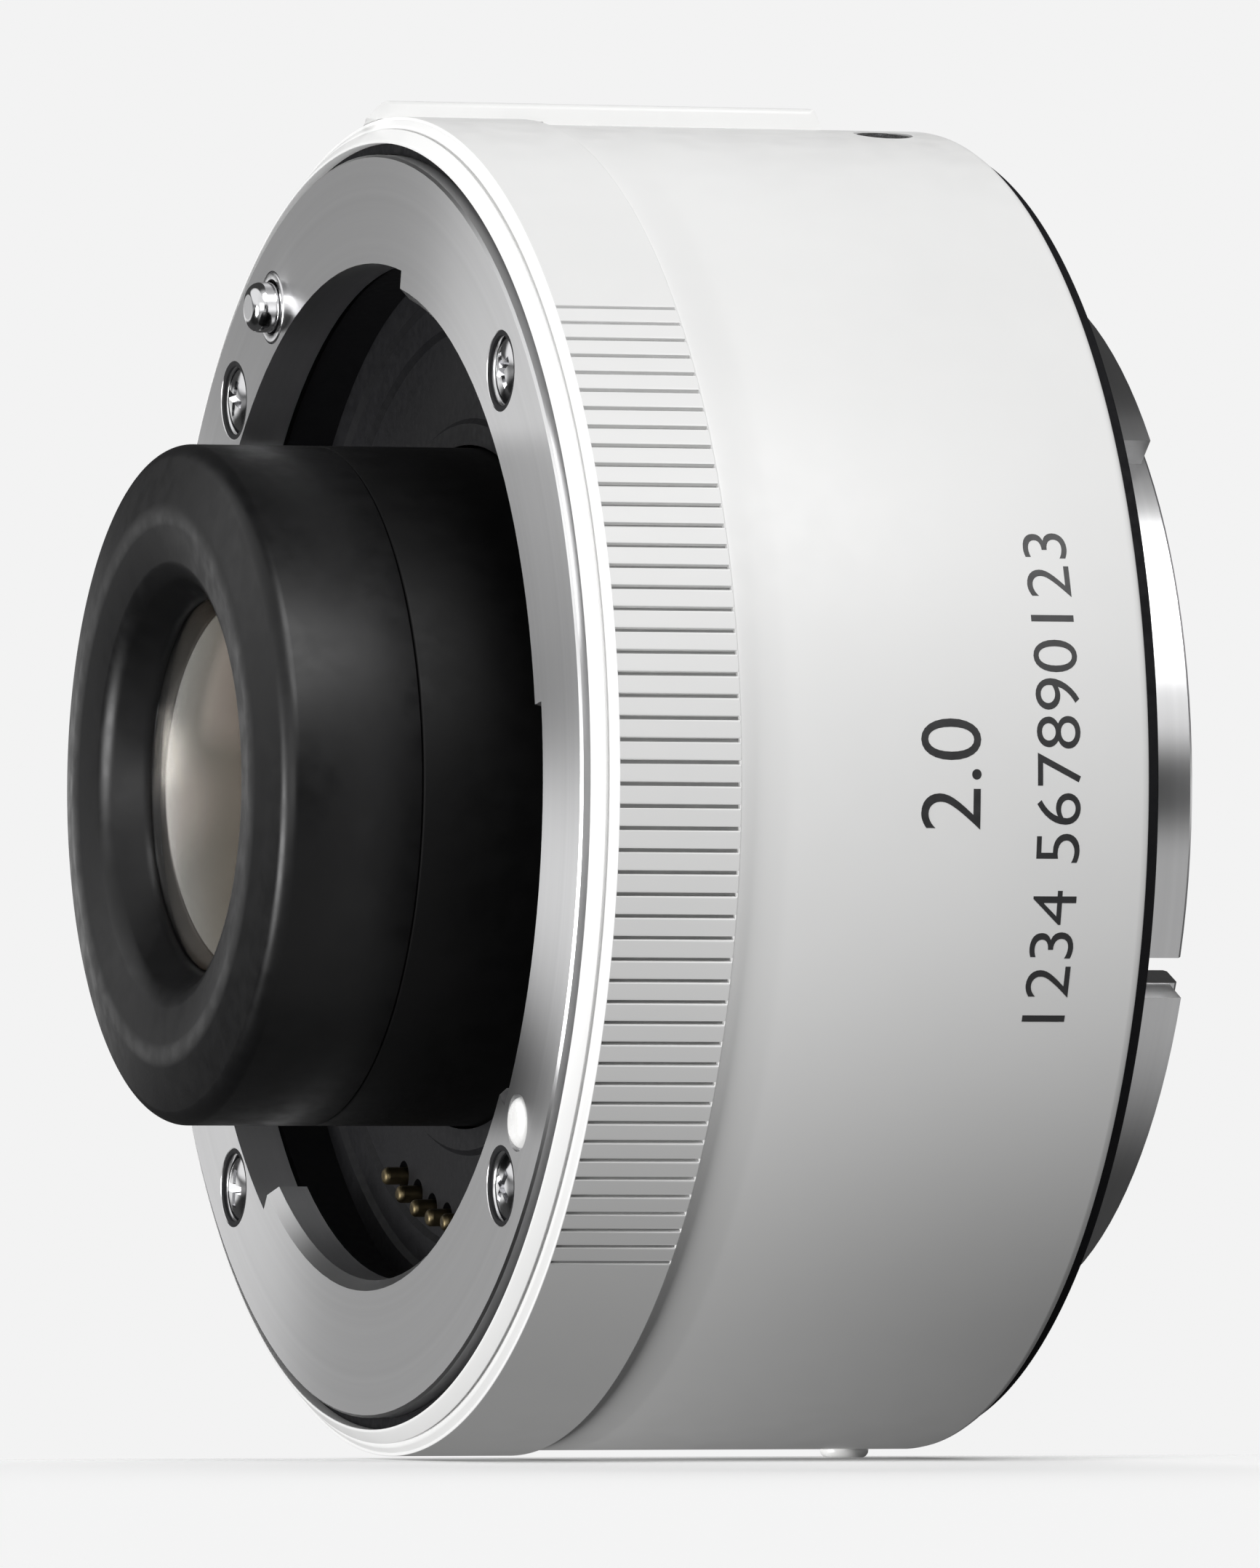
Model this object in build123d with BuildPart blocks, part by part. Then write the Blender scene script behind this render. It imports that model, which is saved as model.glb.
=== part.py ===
"""Teleconverter, in millimetres.

The optical axis is X: a lens goes on at -X and the camera is at +X, Z is up. The origin is the centre of
the camera-side mount face. Angles are measured about +X, from +Y towards +Z, so 90 is the top of the
barrel and 180 is its -Y side. Screw threads are left off: a screw and its hole are plain cylinders.
"""
from build123d import *
import os
from math import copysign, cos, radians, sin, sqrt

os.makedirs("parts", exist_ok=True)

# Clearances
fit = 0.05
running = 0.08
gap = 0.3

# How far an added solid reaches into the one it joins, and the wall under a blind hole
bite = 0.5
hole_floor = 0.2

# Overall lengths along the axis
flange_distance = 28.0
nose_reach = 10.15
spigot_reach = 4.8
front = -flange_distance
nose_tip = front - nose_reach

# Bayonet: a lens's tube passes the claws, and its tabs pass the gaps between them
claw_bore = 23.2
claw_height = 1.35
throat_r = claw_bore + claw_height
plate_width = 5.1
plate_r = throat_r + plate_width

# White outer shell: bezel, ribbed ring and barrel
barrel_bore = plate_r + fit
barrel_wall = 1.5
barrel_r = barrel_bore + barrel_wall
rim_setback = 0.6
plate_proud = 0.3
bezel_length = 0.9
bezel_flat = 0.5
bezel_slope = 0.5
bezel_drop = 0.3
bezel_groove = 0.1
bezel_lip = 0.15
grip_length = 6.0
grip_height = 0.25
grip_r = barrel_r + grip_height
bezel_x = front + plate_proud
grip_x = bezel_x + bezel_length
barrel_x = grip_x + grip_length
barrel_end = -rim_setback

# Ribs of the grip ring, on both sides
rib_pitch = 1.848
rib_count = 49
rib_depth = 0.22
rib_width = 0.3
rib_margin = 0.25
rib_fade = 5
rib_centres = (0.9, 180.9)

# Lens-side mount plate
plate_thickness = 2.2
plate_chamfer = 0.12
claw_thickness = 1.9
claw_chamfer = 0.5
claw_spans = ((102, 172), (218, 306), (352, 400))
leaf_thickness = 0.25
leaf_inset = 0.45
leaf_r = plate_r - leaf_inset
leaf_setback = 1.0
leaf_margin_angle = 6

# Mount screws, alike on both sides
screw_inset = 2.05
screw_circle = throat_r + screw_inset
screw_angles = (45, 135, 225, 315)
screw_r = 0.95
sink_r = 1.9
sink_depth = 1.0
sink_recess = 0.12
screw_length = 4.0
cross_length = 1.9
cross_width = 0.38
cross_depth = 0.5

# Index marks
mark_r = 1.3
mark_inset = 0.2
mark_circle = screw_circle - mark_inset
mark_angle = 217
mark_depth = 0.6
mark_dome = 0.2
bead_r = 1.15
bead_setback = 3.93
bead_angle = 270
bead_depth = 0.8
bead_dome = 0.4

# Inner frame
frame_x = front + plate_thickness + leaf_thickness
frame_flange = 4.05
frame_ledge = 0.7
frame_lip = 0.55
shell_gap = 1.8
frame_tube_r = barrel_bore - shell_gap
frame_tube_wall = 1.0
rear_land = 3.5
rear_flange = 3.0
rear_flange_inset = 2.1
rear_flange_bore = screw_circle - rear_flange_inset
web_setback = 3.7
web_thickness = 1.6
flange_end = frame_x + frame_flange
web_x = flange_end + web_setback
web_end = web_x + web_thickness

# Throat baffle
baffle_wall = 0.5
baffle_floor = 0.8
throat_depth = 5.0
throat_step = 0.25
throat_shelf = 1.2
ridge_margin = 1.4
floor_x = front + throat_depth
floor_end = floor_x + baffle_floor
baffle_r = throat_r + 0.6
throat_wall_r = baffle_r - baffle_wall
ridge_inset = 3.05
ridge_r = throat_wall_r - ridge_inset

# Nose and front lens cell
nose_r = 15.95
nose_rim_width = 3.25
nose_rim_r = nose_r - nose_rim_width
nose_rim_round = 1.75
nose_dish = 0.55
front_lens_r = 9.3
rear_lens_r = 12.0
lens_seat = 0.5
aperture_r = front_lens_r - lens_seat
nose_lip_width = 1.1
nose_lip_r = aperture_r + nose_lip_width
nose_lip_setback = 0.3
nose_lip_bevel = 0.6
cap_length = 7.35
spigot_margin = 2.7
spigot_r = front_lens_r + spigot_margin
spigot_length = 3.8
lens_wall = 1.1
ring_overlap = 0.8
optics_screw_inset = 2.05
optics_screw_circle = nose_r + optics_screw_inset
cell_flange_margin = 2.0
cell_flange_r = optics_screw_circle + cell_flange_margin
cell_flange = 1.2
cell_spigot_inset = 1.95
cell_spigot_r = nose_r - cell_spigot_inset
cap_end = nose_tip + cap_length

# Rear lens cell
rear_cell_wall = 1.6
rear_cell_r = rear_lens_r + rear_cell_wall
optics_screw_angles = (30, 150, 270)
small_screw_r = 0.7
small_head_r = 1.5
small_head = 0.8
small_bite = 1.0

# Camera-side mount
rear_plate = 1.6
spigot_play = 0.4
spigot_tube_r = claw_bore - spigot_play
spigot_wall = 1.6
tab_play = 0.15
tab_r = throat_r - tab_play
tab_thickness = 1.8
tab_setback = 0.4
tab_spans = ((79, 139), (204.3, 249), (341, 387))
notch_angle = 202.6
notch_width = 1.25
notch_depth = 2.8
lock_hole_r = 1.35
lock_hole_depth = 1.1
seal_width = 0.95
seal_seat = 1.1
rear_plate_r = barrel_bore - 2 * fit
frame_end = -rear_plate
baffle_plate = 1.0
baffle_lip = 0.8
cup_wall = 0.9
cup_setback = 1.8
window_width = 24.0
window_height = 16.0
window_round = 3.0
rear_cell_end = frame_end - baffle_plate - gap

# Contacts
contact_count = 10
contact_pitch = 6.0
contact_inset = 2.7
contact_circle = claw_bore - contact_inset
contact_block_width = 4.4
contact_block_depth = 2.8
contact_block_margin = 6.0
contact_r = 0.42
contact_collar_r = 0.7
contact_collar = 0.5
contact_travel = 0.7
contact_proud = contact_travel + 0.1
contact_cavity_r = 0.85
contact_lid = 0.2
contact_lip = 0.5
pad_width = 1.5
pad_height = 0.1
rear_block_width = 2.8
rear_block_seat = 0.2
rear_block_front = 0.2
rear_block_end = 0.3

# Lens lock pin, its spring and the release
pin_angle = 60
pin_r = 1.2
pin_proud = 1.2
pin_hole_r = 1.75
pin_collar_r = 1.9
pin_collar = 0.6
pin_tail_r = 0.7
pin_spring_length = 3.5
pin_post = 1.2
pin_post_width = 4.0
pin_post_height = 2.5
pin_tail = pin_spring_length + pin_post + 0.2
pin_sunk = 0.6
release_travel = pin_proud + pin_sunk
carriage_thickness = 0.8
carriage_reach = 1.3
carriage_inner_r = screw_circle - carriage_reach
carriage_inset = 0.8
carriage_outer_r = barrel_bore - carriage_inset
carriage_margin_angle = 6
tongue_r = frame_tube_r + gap
tongue_thickness = 1.1
tongue_length = 11.0
slide_angle = 79
slide_half_angle = 9
slide_front = 0.8
slide_length = 23.3
slide_slope = 1.0
slide_round = 0.25
slide_rise = 0.9
slide_r = grip_r + slide_rise
post_half_angle = 3.8
post_length = 2.5
post_starts = (10.0, 15.0)
slide_screw_r = 0.6
slide_head_r = 1.15
slide_head = 0.55
slide_screw_bite = 1.8

# Ring circuit board and flat cables
board_inset = 2.4
board_inner_r = rear_cell_r + board_inset
board_margin = 1.7
board_thickness = 1.0
standoff = 2.8
standoff_r = 1.6
board_screw_inset = 2.3
board_screw_circle = cell_flange_r + board_screw_inset
board_r = board_screw_circle + board_margin
board_screw_angles = (0, 120, 240)
cable_width = 8.0
cable_thickness = 0.2
cable_inset = 1.8
cable_r = cell_flange_r + cable_inset
cable_foot = 1.2
slot_margin = 0.5
main_chip = (5.0, 5.0, 0.9)
second_chip = (4.0, 3.0, 0.7)
small_chip = (1.6, 0.8, 0.5)
board_x = web_end + standoff
board_end = board_x + board_thickness

# Barrel set screws
set_screw_x = -3.8
set_screw_angles = (99, 339)
set_screw_r = 0.8
set_head_r = 1.35
set_head = 0.7
set_screw_length = 2.6

# Springs
contact_wire_r = 0.1
contact_coil_r = 0.5
contact_turns = 3
pin_wire_r = 0.15
pin_coil_r = 1.25
pin_turns = 6
release_wire_r = 0.12
release_coil_r = 0.58
release_turns = 7

low = (Align.CENTER, Align.CENTER, Align.MIN)


def meridian(angle):
    """The half plane through the optical axis at an angle: its x is the axis, its y the radius."""
    return Plane(origin=(0, 0, 0), x_dir=(1, 0, 0), z_dir=(0, -sin(radians(angle)), cos(radians(angle))))


def outline(*points, angle=90):
    """A closed outline of (axial, radial) points."""
    with BuildSketch(meridian(angle)) as section:
        with BuildLine():
            Polyline(*points, close=True)
        make_face()
    return section.sketch


def band(x0, x1, r0, r1, angle=90):
    """The rectangular section of a ring or of an arc of one."""
    return outline((x0, r0), (x1, r0), (x1, r1), (x0, r1), angle=angle)


def turn(section, mode=Mode.ADD):
    """A full turn of a section about the optical axis."""
    revolve(section, axis=Axis.X, mode=mode)


def arc(x0, x1, r0, r1, a0, a1, mode=Mode.ADD):
    """An arc of a ring, from one angle to another."""
    revolve(band(x0, x1, r0, r1, angle=a0), axis=Axis.X, revolution_arc=a1 - a0, mode=mode)


def around(angle, radius):
    """The (y, z) place of a point on a circle about the optical axis."""
    return (radius * cos(radians(angle)), radius * sin(radians(angle)))


def along(x, radius, angles, towards=1):
    """Places on a circle about the axis, each with its z along the axis: +1 is towards the camera."""
    return [Location((x, *around(a, radius)), (0, 90 * towards, 0)) for a in angles]


def radial(x, radius, angles, outwards=True):
    """Places on the barrel, each with its z along the radius."""
    turned = -90 if outwards else 90
    return [Location((x, *around(a, radius)), (a + turned, 0, 0)) for a in angles]


def sunk_hole(hole_r, head_r, head, depth):
    """A countersunk hole that starts at each current place."""
    Cone(head_r, hole_r, head, align=low, mode=Mode.SUBTRACT)
    Cylinder(hole_r, depth, align=low, mode=Mode.SUBTRACT)


def sunk_screw(shank_r, head_r, head, length):
    """A countersunk screw with a cross recess, its head's face at each current place."""
    Cone(head_r, shank_r, head, align=low)
    Cylinder(shank_r, length, align=low)
    recess = min(cross_length, 1.4 * head_r)
    depth = min(cross_depth, 0.7 * head)
    Box(recess, cross_width, depth, align=low, mode=Mode.SUBTRACT)
    Box(cross_width, recess, depth, align=low, mode=Mode.SUBTRACT)


def pan_screw(shank_r, head_r, head, length):
    """A pan-head screw that points along z, the seat of its head at each current place."""
    Cylinder(shank_r, length, align=low)
    Cylinder(head_r, head, align=(Align.CENTER, Align.CENTER, Align.MAX))
    with Locations((0, 0, -head)):
        Box(head_r, cross_width, 0.6 * head, align=low, mode=Mode.SUBTRACT)
        Box(cross_width, head_r, 0.6 * head, align=low, mode=Mode.SUBTRACT)


def surface(vertex, radius, height):
    """Where a lens surface lies at a height above the axis."""
    return vertex + radius - copysign(sqrt(radius**2 - height**2), radius)


def lens_section(element):
    """The half section of a lens, closed along the axis."""
    edge = element["edge"]
    front_vertex = (element["front_x"], 0)
    front_mid = (surface(element["front_x"], element["front_radius"], edge / 2), edge / 2)
    front_edge = (surface(element["front_x"], element["front_radius"], edge), edge)
    rear_vertex = (element["rear_x"], 0)
    rear_mid = (surface(element["rear_x"], element["rear_radius"], edge / 2), edge / 2)
    rear_edge = (surface(element["rear_x"], element["rear_radius"], edge), edge)
    with BuildSketch(Plane.XZ) as section:
        with BuildLine():
            ThreePointArc(front_vertex, front_mid, front_edge)
            Line(front_edge, rear_edge)
            ThreePointArc(rear_edge, rear_mid, rear_vertex)
            Line(rear_vertex, front_vertex)
        make_face()
    return section.sketch


def coils(x0, x1, coil_r, wire_r, turns, places):
    """Compression springs along the axis, one at each (y, z) place, between two planes."""
    height = x1 - x0 - 2 * wire_r
    with BuildPart() as springs:
        for y, z in places:
            with BuildLine() as wire:
                Helix(height / turns, height, coil_r, center=(x0 + wire_r, y, z), direction=(1, 0, 0))
            with BuildSketch(Plane(origin=wire.line @ 0, z_dir=wire.line % 0)) as section:
                Circle(wire_r)
            sweep(section.sketch, path=wire.line)
    return springs


def save(piece, name):
    piece.part.label = name
    export_step(piece.part, f"parts/{name}.step")


# The white shell

with BuildPart() as front_bezel:
    step_x = bezel_x + bezel_slope
    step_r = barrel_r - bezel_drop
    turn(
        outline(
            (bezel_x, barrel_bore + fit),
            (bezel_x, barrel_bore + bezel_flat),
            (step_x, step_r),
            (step_x, step_r - bezel_groove),
            (step_x + bezel_lip, step_r - bezel_groove),
            (step_x + bezel_lip, barrel_r - bezel_drop / 2),
            (grip_x, barrel_r + bezel_groove),
            (grip_x, barrel_bore + fit),
        )
    )
save(front_bezel, "front_bezel")

with BuildPart() as grip_ring:
    turn(band(grip_x, barrel_x, barrel_bore, grip_r))
    ring_edges = grip_ring.edges().filter_by(GeomType.CIRCLE).group_by(SortBy.RADIUS)[-1]
    chamfer(ring_edges, grip_height - rib_margin / 2)
    with BuildSketch(Plane.YZ.offset(grip_x + rib_margin)):
        for centre in rib_centres:
            for rib in range(rib_count):
                from_end = min(rib, rib_count - 1 - rib) + 1
                depth = rib_depth * min(1, from_end / rib_fade)
                turned = centre + (rib - (rib_count - 1) / 2) * rib_pitch
                with Locations(Location((*around(turned, grip_r), 0), turned)):
                    Rectangle(2 * depth, rib_width)
    extrude(amount=grip_length - 2 * rib_margin, mode=Mode.SUBTRACT)
save(grip_ring, "grip_ring")

slide_x = front + slide_front
slide_end = slide_x + slide_length
post_spans = [(front + start, front + start + post_length) for start in post_starts]

with BuildPart() as main_barrel:
    seal_r = rear_plate_r + fit + seal_width
    turn(
        outline(
            (barrel_x, barrel_bore),
            (barrel_x, barrel_r),
            (barrel_end, barrel_r),
            (barrel_end, seal_r + fit),
            (-seal_seat, seal_r + fit),
            (-seal_seat, barrel_bore),
        )
    )
    rim = main_barrel.edges().filter_by(GeomType.CIRCLE).group_by(SortBy.RADIUS)[-1].sort_by(Axis.X)[-1]
    fillet(rim, min(0.45, 0.8 * (barrel_r - seal_r - fit)))
    for start, end in post_spans:
        side = post_half_angle + slot_margin
        arc(
            start - gap,
            end + release_travel + gap,
            barrel_bore - bite,
            barrel_r + bite,
            slide_angle - side,
            slide_angle + side,
            mode=Mode.SUBTRACT,
        )
    with Locations(*radial(set_screw_x, barrel_r + fit, set_screw_angles, outwards=False)):
        sunk_hole(set_screw_r + fit, set_head_r + fit, set_head, barrel_wall + 1)
    with Locations(*radial(-bead_setback, barrel_r - bead_depth, [bead_angle])):
        Cylinder(bead_r + fit, bead_depth + 1, align=low, mode=Mode.SUBTRACT)
save(main_barrel, "main_barrel")

with BuildPart() as barrel_set_screws:
    with Locations(*radial(set_screw_x, barrel_r - fit, set_screw_angles, outwards=False)):
        sunk_screw(set_screw_r, set_head_r - 2 * fit, set_head, set_screw_length)
save(barrel_set_screws, "barrel_set_screws")

with BuildPart() as rear_index_bead:
    with Locations(*radial(-bead_setback, barrel_r - bead_depth, [bead_angle])):
        Cylinder(bead_r, bead_depth + bead_dome, align=low)
    crown = rear_index_bead.edges().filter_by(GeomType.CIRCLE).sort_by(Axis.Z)[0]
    fillet(crown, 0.9 * bead_dome)
save(rear_index_bead, "rear_index_bead")

# The lens-side mount

with BuildPart() as front_mount_plate:
    turn(band(front, front + plate_thickness, throat_r, plate_r))
    for a0, a1 in claw_spans:
        arc(front, front + claw_thickness, claw_bore, throat_r + bite, a0, a1)
        claw_edge = outline(
            (front - 1, claw_bore + claw_chamfer + 1),
            (front - 1, claw_bore - 1),
            (front + claw_chamfer + 1, claw_bore - 1),
            angle=a0,
        )
        revolve(claw_edge, axis=Axis.X, revolution_arc=a1 - a0, mode=Mode.SUBTRACT)
    outer = front_mount_plate.edges().filter_by(GeomType.CIRCLE).group_by(SortBy.RADIUS)[-1].sort_by(Axis.X)[0]
    chamfer(outer, plate_chamfer)
    with Locations(*along(front, screw_circle, screw_angles)):
        sunk_hole(screw_r + fit, sink_r, sink_depth, plate_thickness + 1)
    with Locations(*along(front, screw_circle, [pin_angle])):
        Cylinder(pin_hole_r, plate_thickness + 1, align=low, mode=Mode.SUBTRACT)
    with Locations(*along(front, mark_circle, [mark_angle])):
        Cylinder(mark_r + fit, mark_depth, align=low, mode=Mode.SUBTRACT)
save(front_mount_plate, "front_mount_plate")

with BuildPart() as front_mount_screws:
    head_r = sink_r - (sink_r - screw_r) * sink_recess / sink_depth - fit
    head_depth = sink_depth - sink_recess - fit
    with Locations(*along(front + sink_recess, screw_circle, screw_angles)):
        sunk_screw(screw_r, head_r, head_depth, plate_thickness + screw_length - sink_recess)
save(front_mount_screws, "front_mount_screws")

with BuildPart() as front_index_mark:
    with Locations(*along(front - mark_dome, mark_circle, [mark_angle])):
        Cylinder(mark_r, mark_depth + mark_dome, align=low)
    crown = front_index_mark.edges().filter_by(GeomType.CIRCLE).sort_by(Axis.X)[0]
    fillet(crown, 0.9 * mark_dome)
save(front_index_mark, "front_index_mark")

with BuildPart() as mount_leaf_spring:
    leaf_x = front + plate_thickness
    leaf_bore = baffle_r + fit
    turn(band(leaf_x, leaf_x + leaf_thickness, leaf_bore, leaf_r))
    for a0, a1 in claw_spans:
        a0 = a0 + leaf_margin_angle
        a1 = a1 - leaf_margin_angle
        arc(leaf_x, leaf_x + leaf_thickness, claw_bore + leaf_setback, leaf_bore + bite, a0, a1)
    with Locations(*along(leaf_x, screw_circle, screw_angles)):
        Cylinder(screw_r + gap, 3, mode=Mode.SUBTRACT)
    with Locations(*along(leaf_x, screw_circle, [pin_angle])):
        Cylinder(pin_hole_r, 3, mode=Mode.SUBTRACT)
save(mount_leaf_spring, "mount_leaf_spring")

# The inner frame, which carries both mounts and both lens cells

frame_wall_r = frame_tube_r - frame_tube_wall
carriage_start = pin_angle - carriage_margin_angle
carriage_stop = slide_angle + slide_half_angle
pin_collar_x = flange_end + gap + carriage_thickness + gap
pin_collar_end = pin_collar_x + pin_collar
pin_post_x = pin_collar_end + pin_spring_length

with BuildPart() as inner_frame:
    turn(
        outline(
            (frame_x, baffle_r + fit),
            (floor_end, baffle_r + fit),
            (floor_end, throat_r - frame_lip),
            (floor_end + frame_ledge, throat_r - frame_lip),
            (flange_end, frame_wall_r),
            (web_x, frame_wall_r),
            (web_x, cell_spigot_r + fit),
            (web_end, cell_spigot_r + fit),
            (web_end, frame_wall_r),
            (frame_end - rear_flange, frame_wall_r),
            (frame_end - rear_flange, rear_flange_bore),
            (frame_end, rear_flange_bore),
            (frame_end, plate_r),
            (frame_end - rear_land, plate_r),
            (frame_end - rear_land, frame_tube_r),
            (flange_end, frame_tube_r),
            (flange_end, plate_r),
            (frame_x, plate_r),
        )
    )
    with Locations(*along(web_end, board_screw_circle, board_screw_angles)):
        Cylinder(standoff_r, standoff, align=low)
    with Locations(*radial(pin_post_x, frame_wall_r, [pin_angle])):
        Box(pin_post, pin_post_width, pin_post_height, align=(Align.MIN, Align.CENTER, Align.MAX))
        Box(pin_post, pin_post_width, frame_tube_wall / 2, align=(Align.MIN, Align.CENTER, Align.MIN))
    carriage_run = carriage_thickness + release_travel + 2 * gap
    arc(
        flange_end,
        flange_end + carriage_run,
        carriage_inner_r - 2 * gap,
        plate_r,
        carriage_start - carriage_margin_angle,
        carriage_stop + carriage_margin_angle,
        mode=Mode.SUBTRACT,
    )
    with Locations(*radial(flange_end, screw_circle, [pin_angle])):
        Box(pin_post_x - flange_end, 2 * (pin_collar_r + gap), 2 * pin_post_height,
            align=(Align.MIN, Align.CENTER, Align.CENTER), mode=Mode.SUBTRACT)
    with Locations(*along(frame_x, screw_circle, [pin_angle])):
        Cylinder(pin_r + running, frame_flange, align=low, mode=Mode.SUBTRACT)
    with Locations(*along(pin_post_x, screw_circle, [pin_angle])):
        Cylinder(pin_tail_r + running, pin_tail, align=low, mode=Mode.SUBTRACT)
    with Locations(*along(frame_x, screw_circle, screw_angles)):
        Cylinder(screw_r + fit, frame_flange - hole_floor, align=low, mode=Mode.SUBTRACT)
    with Locations(*along(frame_end, screw_circle, screw_angles, towards=-1)):
        Cylinder(screw_r + fit, rear_flange - hole_floor, align=low, mode=Mode.SUBTRACT)
    with Locations(*along(web_end + standoff, board_screw_circle, board_screw_angles, towards=-1)):
        Cylinder(small_screw_r + fit, standoff - 2 * hole_floor, align=low, mode=Mode.SUBTRACT)
    with Locations(*along(web_x, optics_screw_circle, optics_screw_angles)):
        Cylinder(small_screw_r + fit, web_thickness, align=low, mode=Mode.SUBTRACT)
    with Locations(*radial(web_x, cable_r, [bead_angle])):
        Box(web_thickness, cable_width + 2 * slot_margin, cable_thickness + 2 * slot_margin,
            align=(Align.MIN, Align.CENTER, Align.CENTER), mode=Mode.SUBTRACT)
    with Locations(*radial(set_screw_x, plate_r + fit, set_screw_angles, outwards=False)):
        Cylinder(set_screw_r + fit, set_screw_length - barrel_wall + hole_floor, align=low, mode=Mode.SUBTRACT)
save(inner_frame, "inner_frame")

with BuildPart() as throat_baffle:
    turn(
        outline(
            (frame_x + fit, throat_wall_r),
            (floor_x - throat_step, throat_wall_r),
            (floor_x - throat_step, throat_wall_r - throat_shelf),
            (floor_x, throat_wall_r - throat_shelf - throat_step),
            (floor_x, ridge_r + throat_step),
            (floor_x + throat_step, ridge_r),
            (floor_x + throat_step, nose_r + ridge_margin),
            (floor_x, nose_r + ridge_margin - throat_step),
            (floor_x, nose_r + 3 * fit),
            (floor_end, nose_r + 3 * fit),
            (floor_end, baffle_r),
            (frame_x + fit, baffle_r),
        )
    )
    contact_angles = [bead_angle + (n - (contact_count - 1) / 2) * contact_pitch for n in range(contact_count)]
    with Locations(*along(floor_x - 1, contact_circle, contact_angles)):
        Cylinder(contact_r + gap, baffle_floor + 2, align=low, mode=Mode.SUBTRACT)
save(throat_baffle, "throat_baffle")

# The optics: eight elements in five groups

cement = 0.03
front_elements = [
    dict(name="lens_1_front", air=1.05, thickness=2.8, front_radius=32, rear_radius=-60, edge=front_lens_r),
    dict(name="lens_2_doublet_front", air=1.7, thickness=1.2, front_radius=-28, rear_radius=20, edge=9.0),
    dict(name="lens_3_doublet_rear", air=cement, thickness=3.77, front_radius=20, rear_radius=-45, edge=9.0),
    dict(name="lens_4_doublet_front", air=1.8, thickness=1.4, front_radius=-60, rear_radius=24, edge=9.5),
    dict(name="lens_5_doublet_rear", air=cement, thickness=3.77, front_radius=24, rear_radius=-38, edge=9.5),
]
rear_elements = [
    dict(name="lens_6_doublet_front", air=0.2, thickness=5.0, front_radius=30, rear_radius=-26, edge=10.5),
    dict(name="lens_7_doublet_rear", air=cement, thickness=1.17, front_radius=-26, rear_radius=60, edge=10.5),
    dict(name="lens_8_rear", air=5.2, thickness=1.6, front_radius=-24, rear_radius=-50, edge=rear_lens_r),
]


def place(elements, start):
    """Gives each lens its front and rear vertex, one after another from a start."""
    x = start
    for element in elements:
        element["front_x"] = x + element["air"]
        element["rear_x"] = element["front_x"] + element["thickness"]
        x = element["rear_x"]


def seat_before(element, height):
    """The plane that a seat in front of a lens may reach, from a height out to the lens's edge."""
    heights = (height, element["edge"])
    return min(surface(element["front_x"], element["front_radius"], h) for h in heights) - cement


def seat_behind(element, height):
    """The plane where a seat behind a lens may start, from a height out to the lens's edge."""
    heights = (height, element["edge"])
    return max(surface(element["rear_x"], element["rear_radius"], h) for h in heights) + cement


place(front_elements, nose_tip)
place(rear_elements, web_end)
lens_1, lens_2, lens_3, lens_4, lens_5 = front_elements
lens_6, lens_7, lens_8 = rear_elements

for element in front_elements + rear_elements:
    with BuildPart() as lens:
        revolve(lens_section(element), axis=Axis.X)
    save(lens, element["name"])

ring_1_r = lens_2["edge"] - ring_overlap
ring_1_x = seat_behind(lens_1, ring_1_r)
ring_1_end = seat_before(lens_2, ring_1_r)
cap_seat = seat_before(lens_1, aperture_r)
spigot_x = cap_end - spigot_length

with BuildPart() as nose_cap:
    lip_x = nose_tip + nose_lip_setback
    eighth = 1 - sqrt(0.5)
    dish_r = (nose_rim_r + nose_lip_r) / 2
    with BuildSketch(Plane.XZ) as cap_section:
        with BuildLine():
            shoulder = (nose_tip + nose_rim_round, nose_r)
            rim_mid = (nose_tip + eighth * nose_rim_round, nose_r - eighth * (nose_r - nose_rim_r))
            Line((cap_end, spigot_r + fit), (cap_end, nose_r))
            Line((cap_end, nose_r), shoulder)
            ThreePointArc(shoulder, rim_mid, (nose_tip, nose_rim_r))
            ThreePointArc((nose_tip, nose_rim_r), (nose_tip + nose_dish, dish_r), (lip_x, nose_lip_r))
            lip_end = (lip_x + nose_lip_bevel, aperture_r)
            lip_mid = (lip_x + eighth * nose_lip_bevel, aperture_r + eighth * (nose_lip_r - aperture_r))
            ThreePointArc((lip_x, nose_lip_r), lip_mid, lip_end)
            Line(lip_end, (cap_seat, aperture_r))
            Line((cap_seat, aperture_r), (cap_seat, lens_1["edge"] + fit))
            Line((cap_seat, lens_1["edge"] + fit), (spigot_x - fit, lens_1["edge"] + fit))
            Line((spigot_x - fit, lens_1["edge"] + fit), (spigot_x - fit, spigot_r + fit))
            Line((spigot_x - fit, spigot_r + fit), (cap_end, spigot_r + fit))
        make_face()
    turn(cap_section.sketch)
save(nose_cap, "nose_cap")

with BuildPart() as lens_spacer:
    turn(band(ring_1_x, ring_1_end, ring_1_r, lens_2["edge"] - fit))
save(lens_spacer, "lens_spacer")

ledge_r = lens_3["edge"] - ring_overlap
ledge_x = seat_behind(lens_3, ledge_r)
ledge_end = seat_before(lens_4, ledge_r)
ring_2_r = lens_5["edge"] - ring_overlap
ring_2_x = seat_behind(lens_5, ring_2_r)

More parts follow.
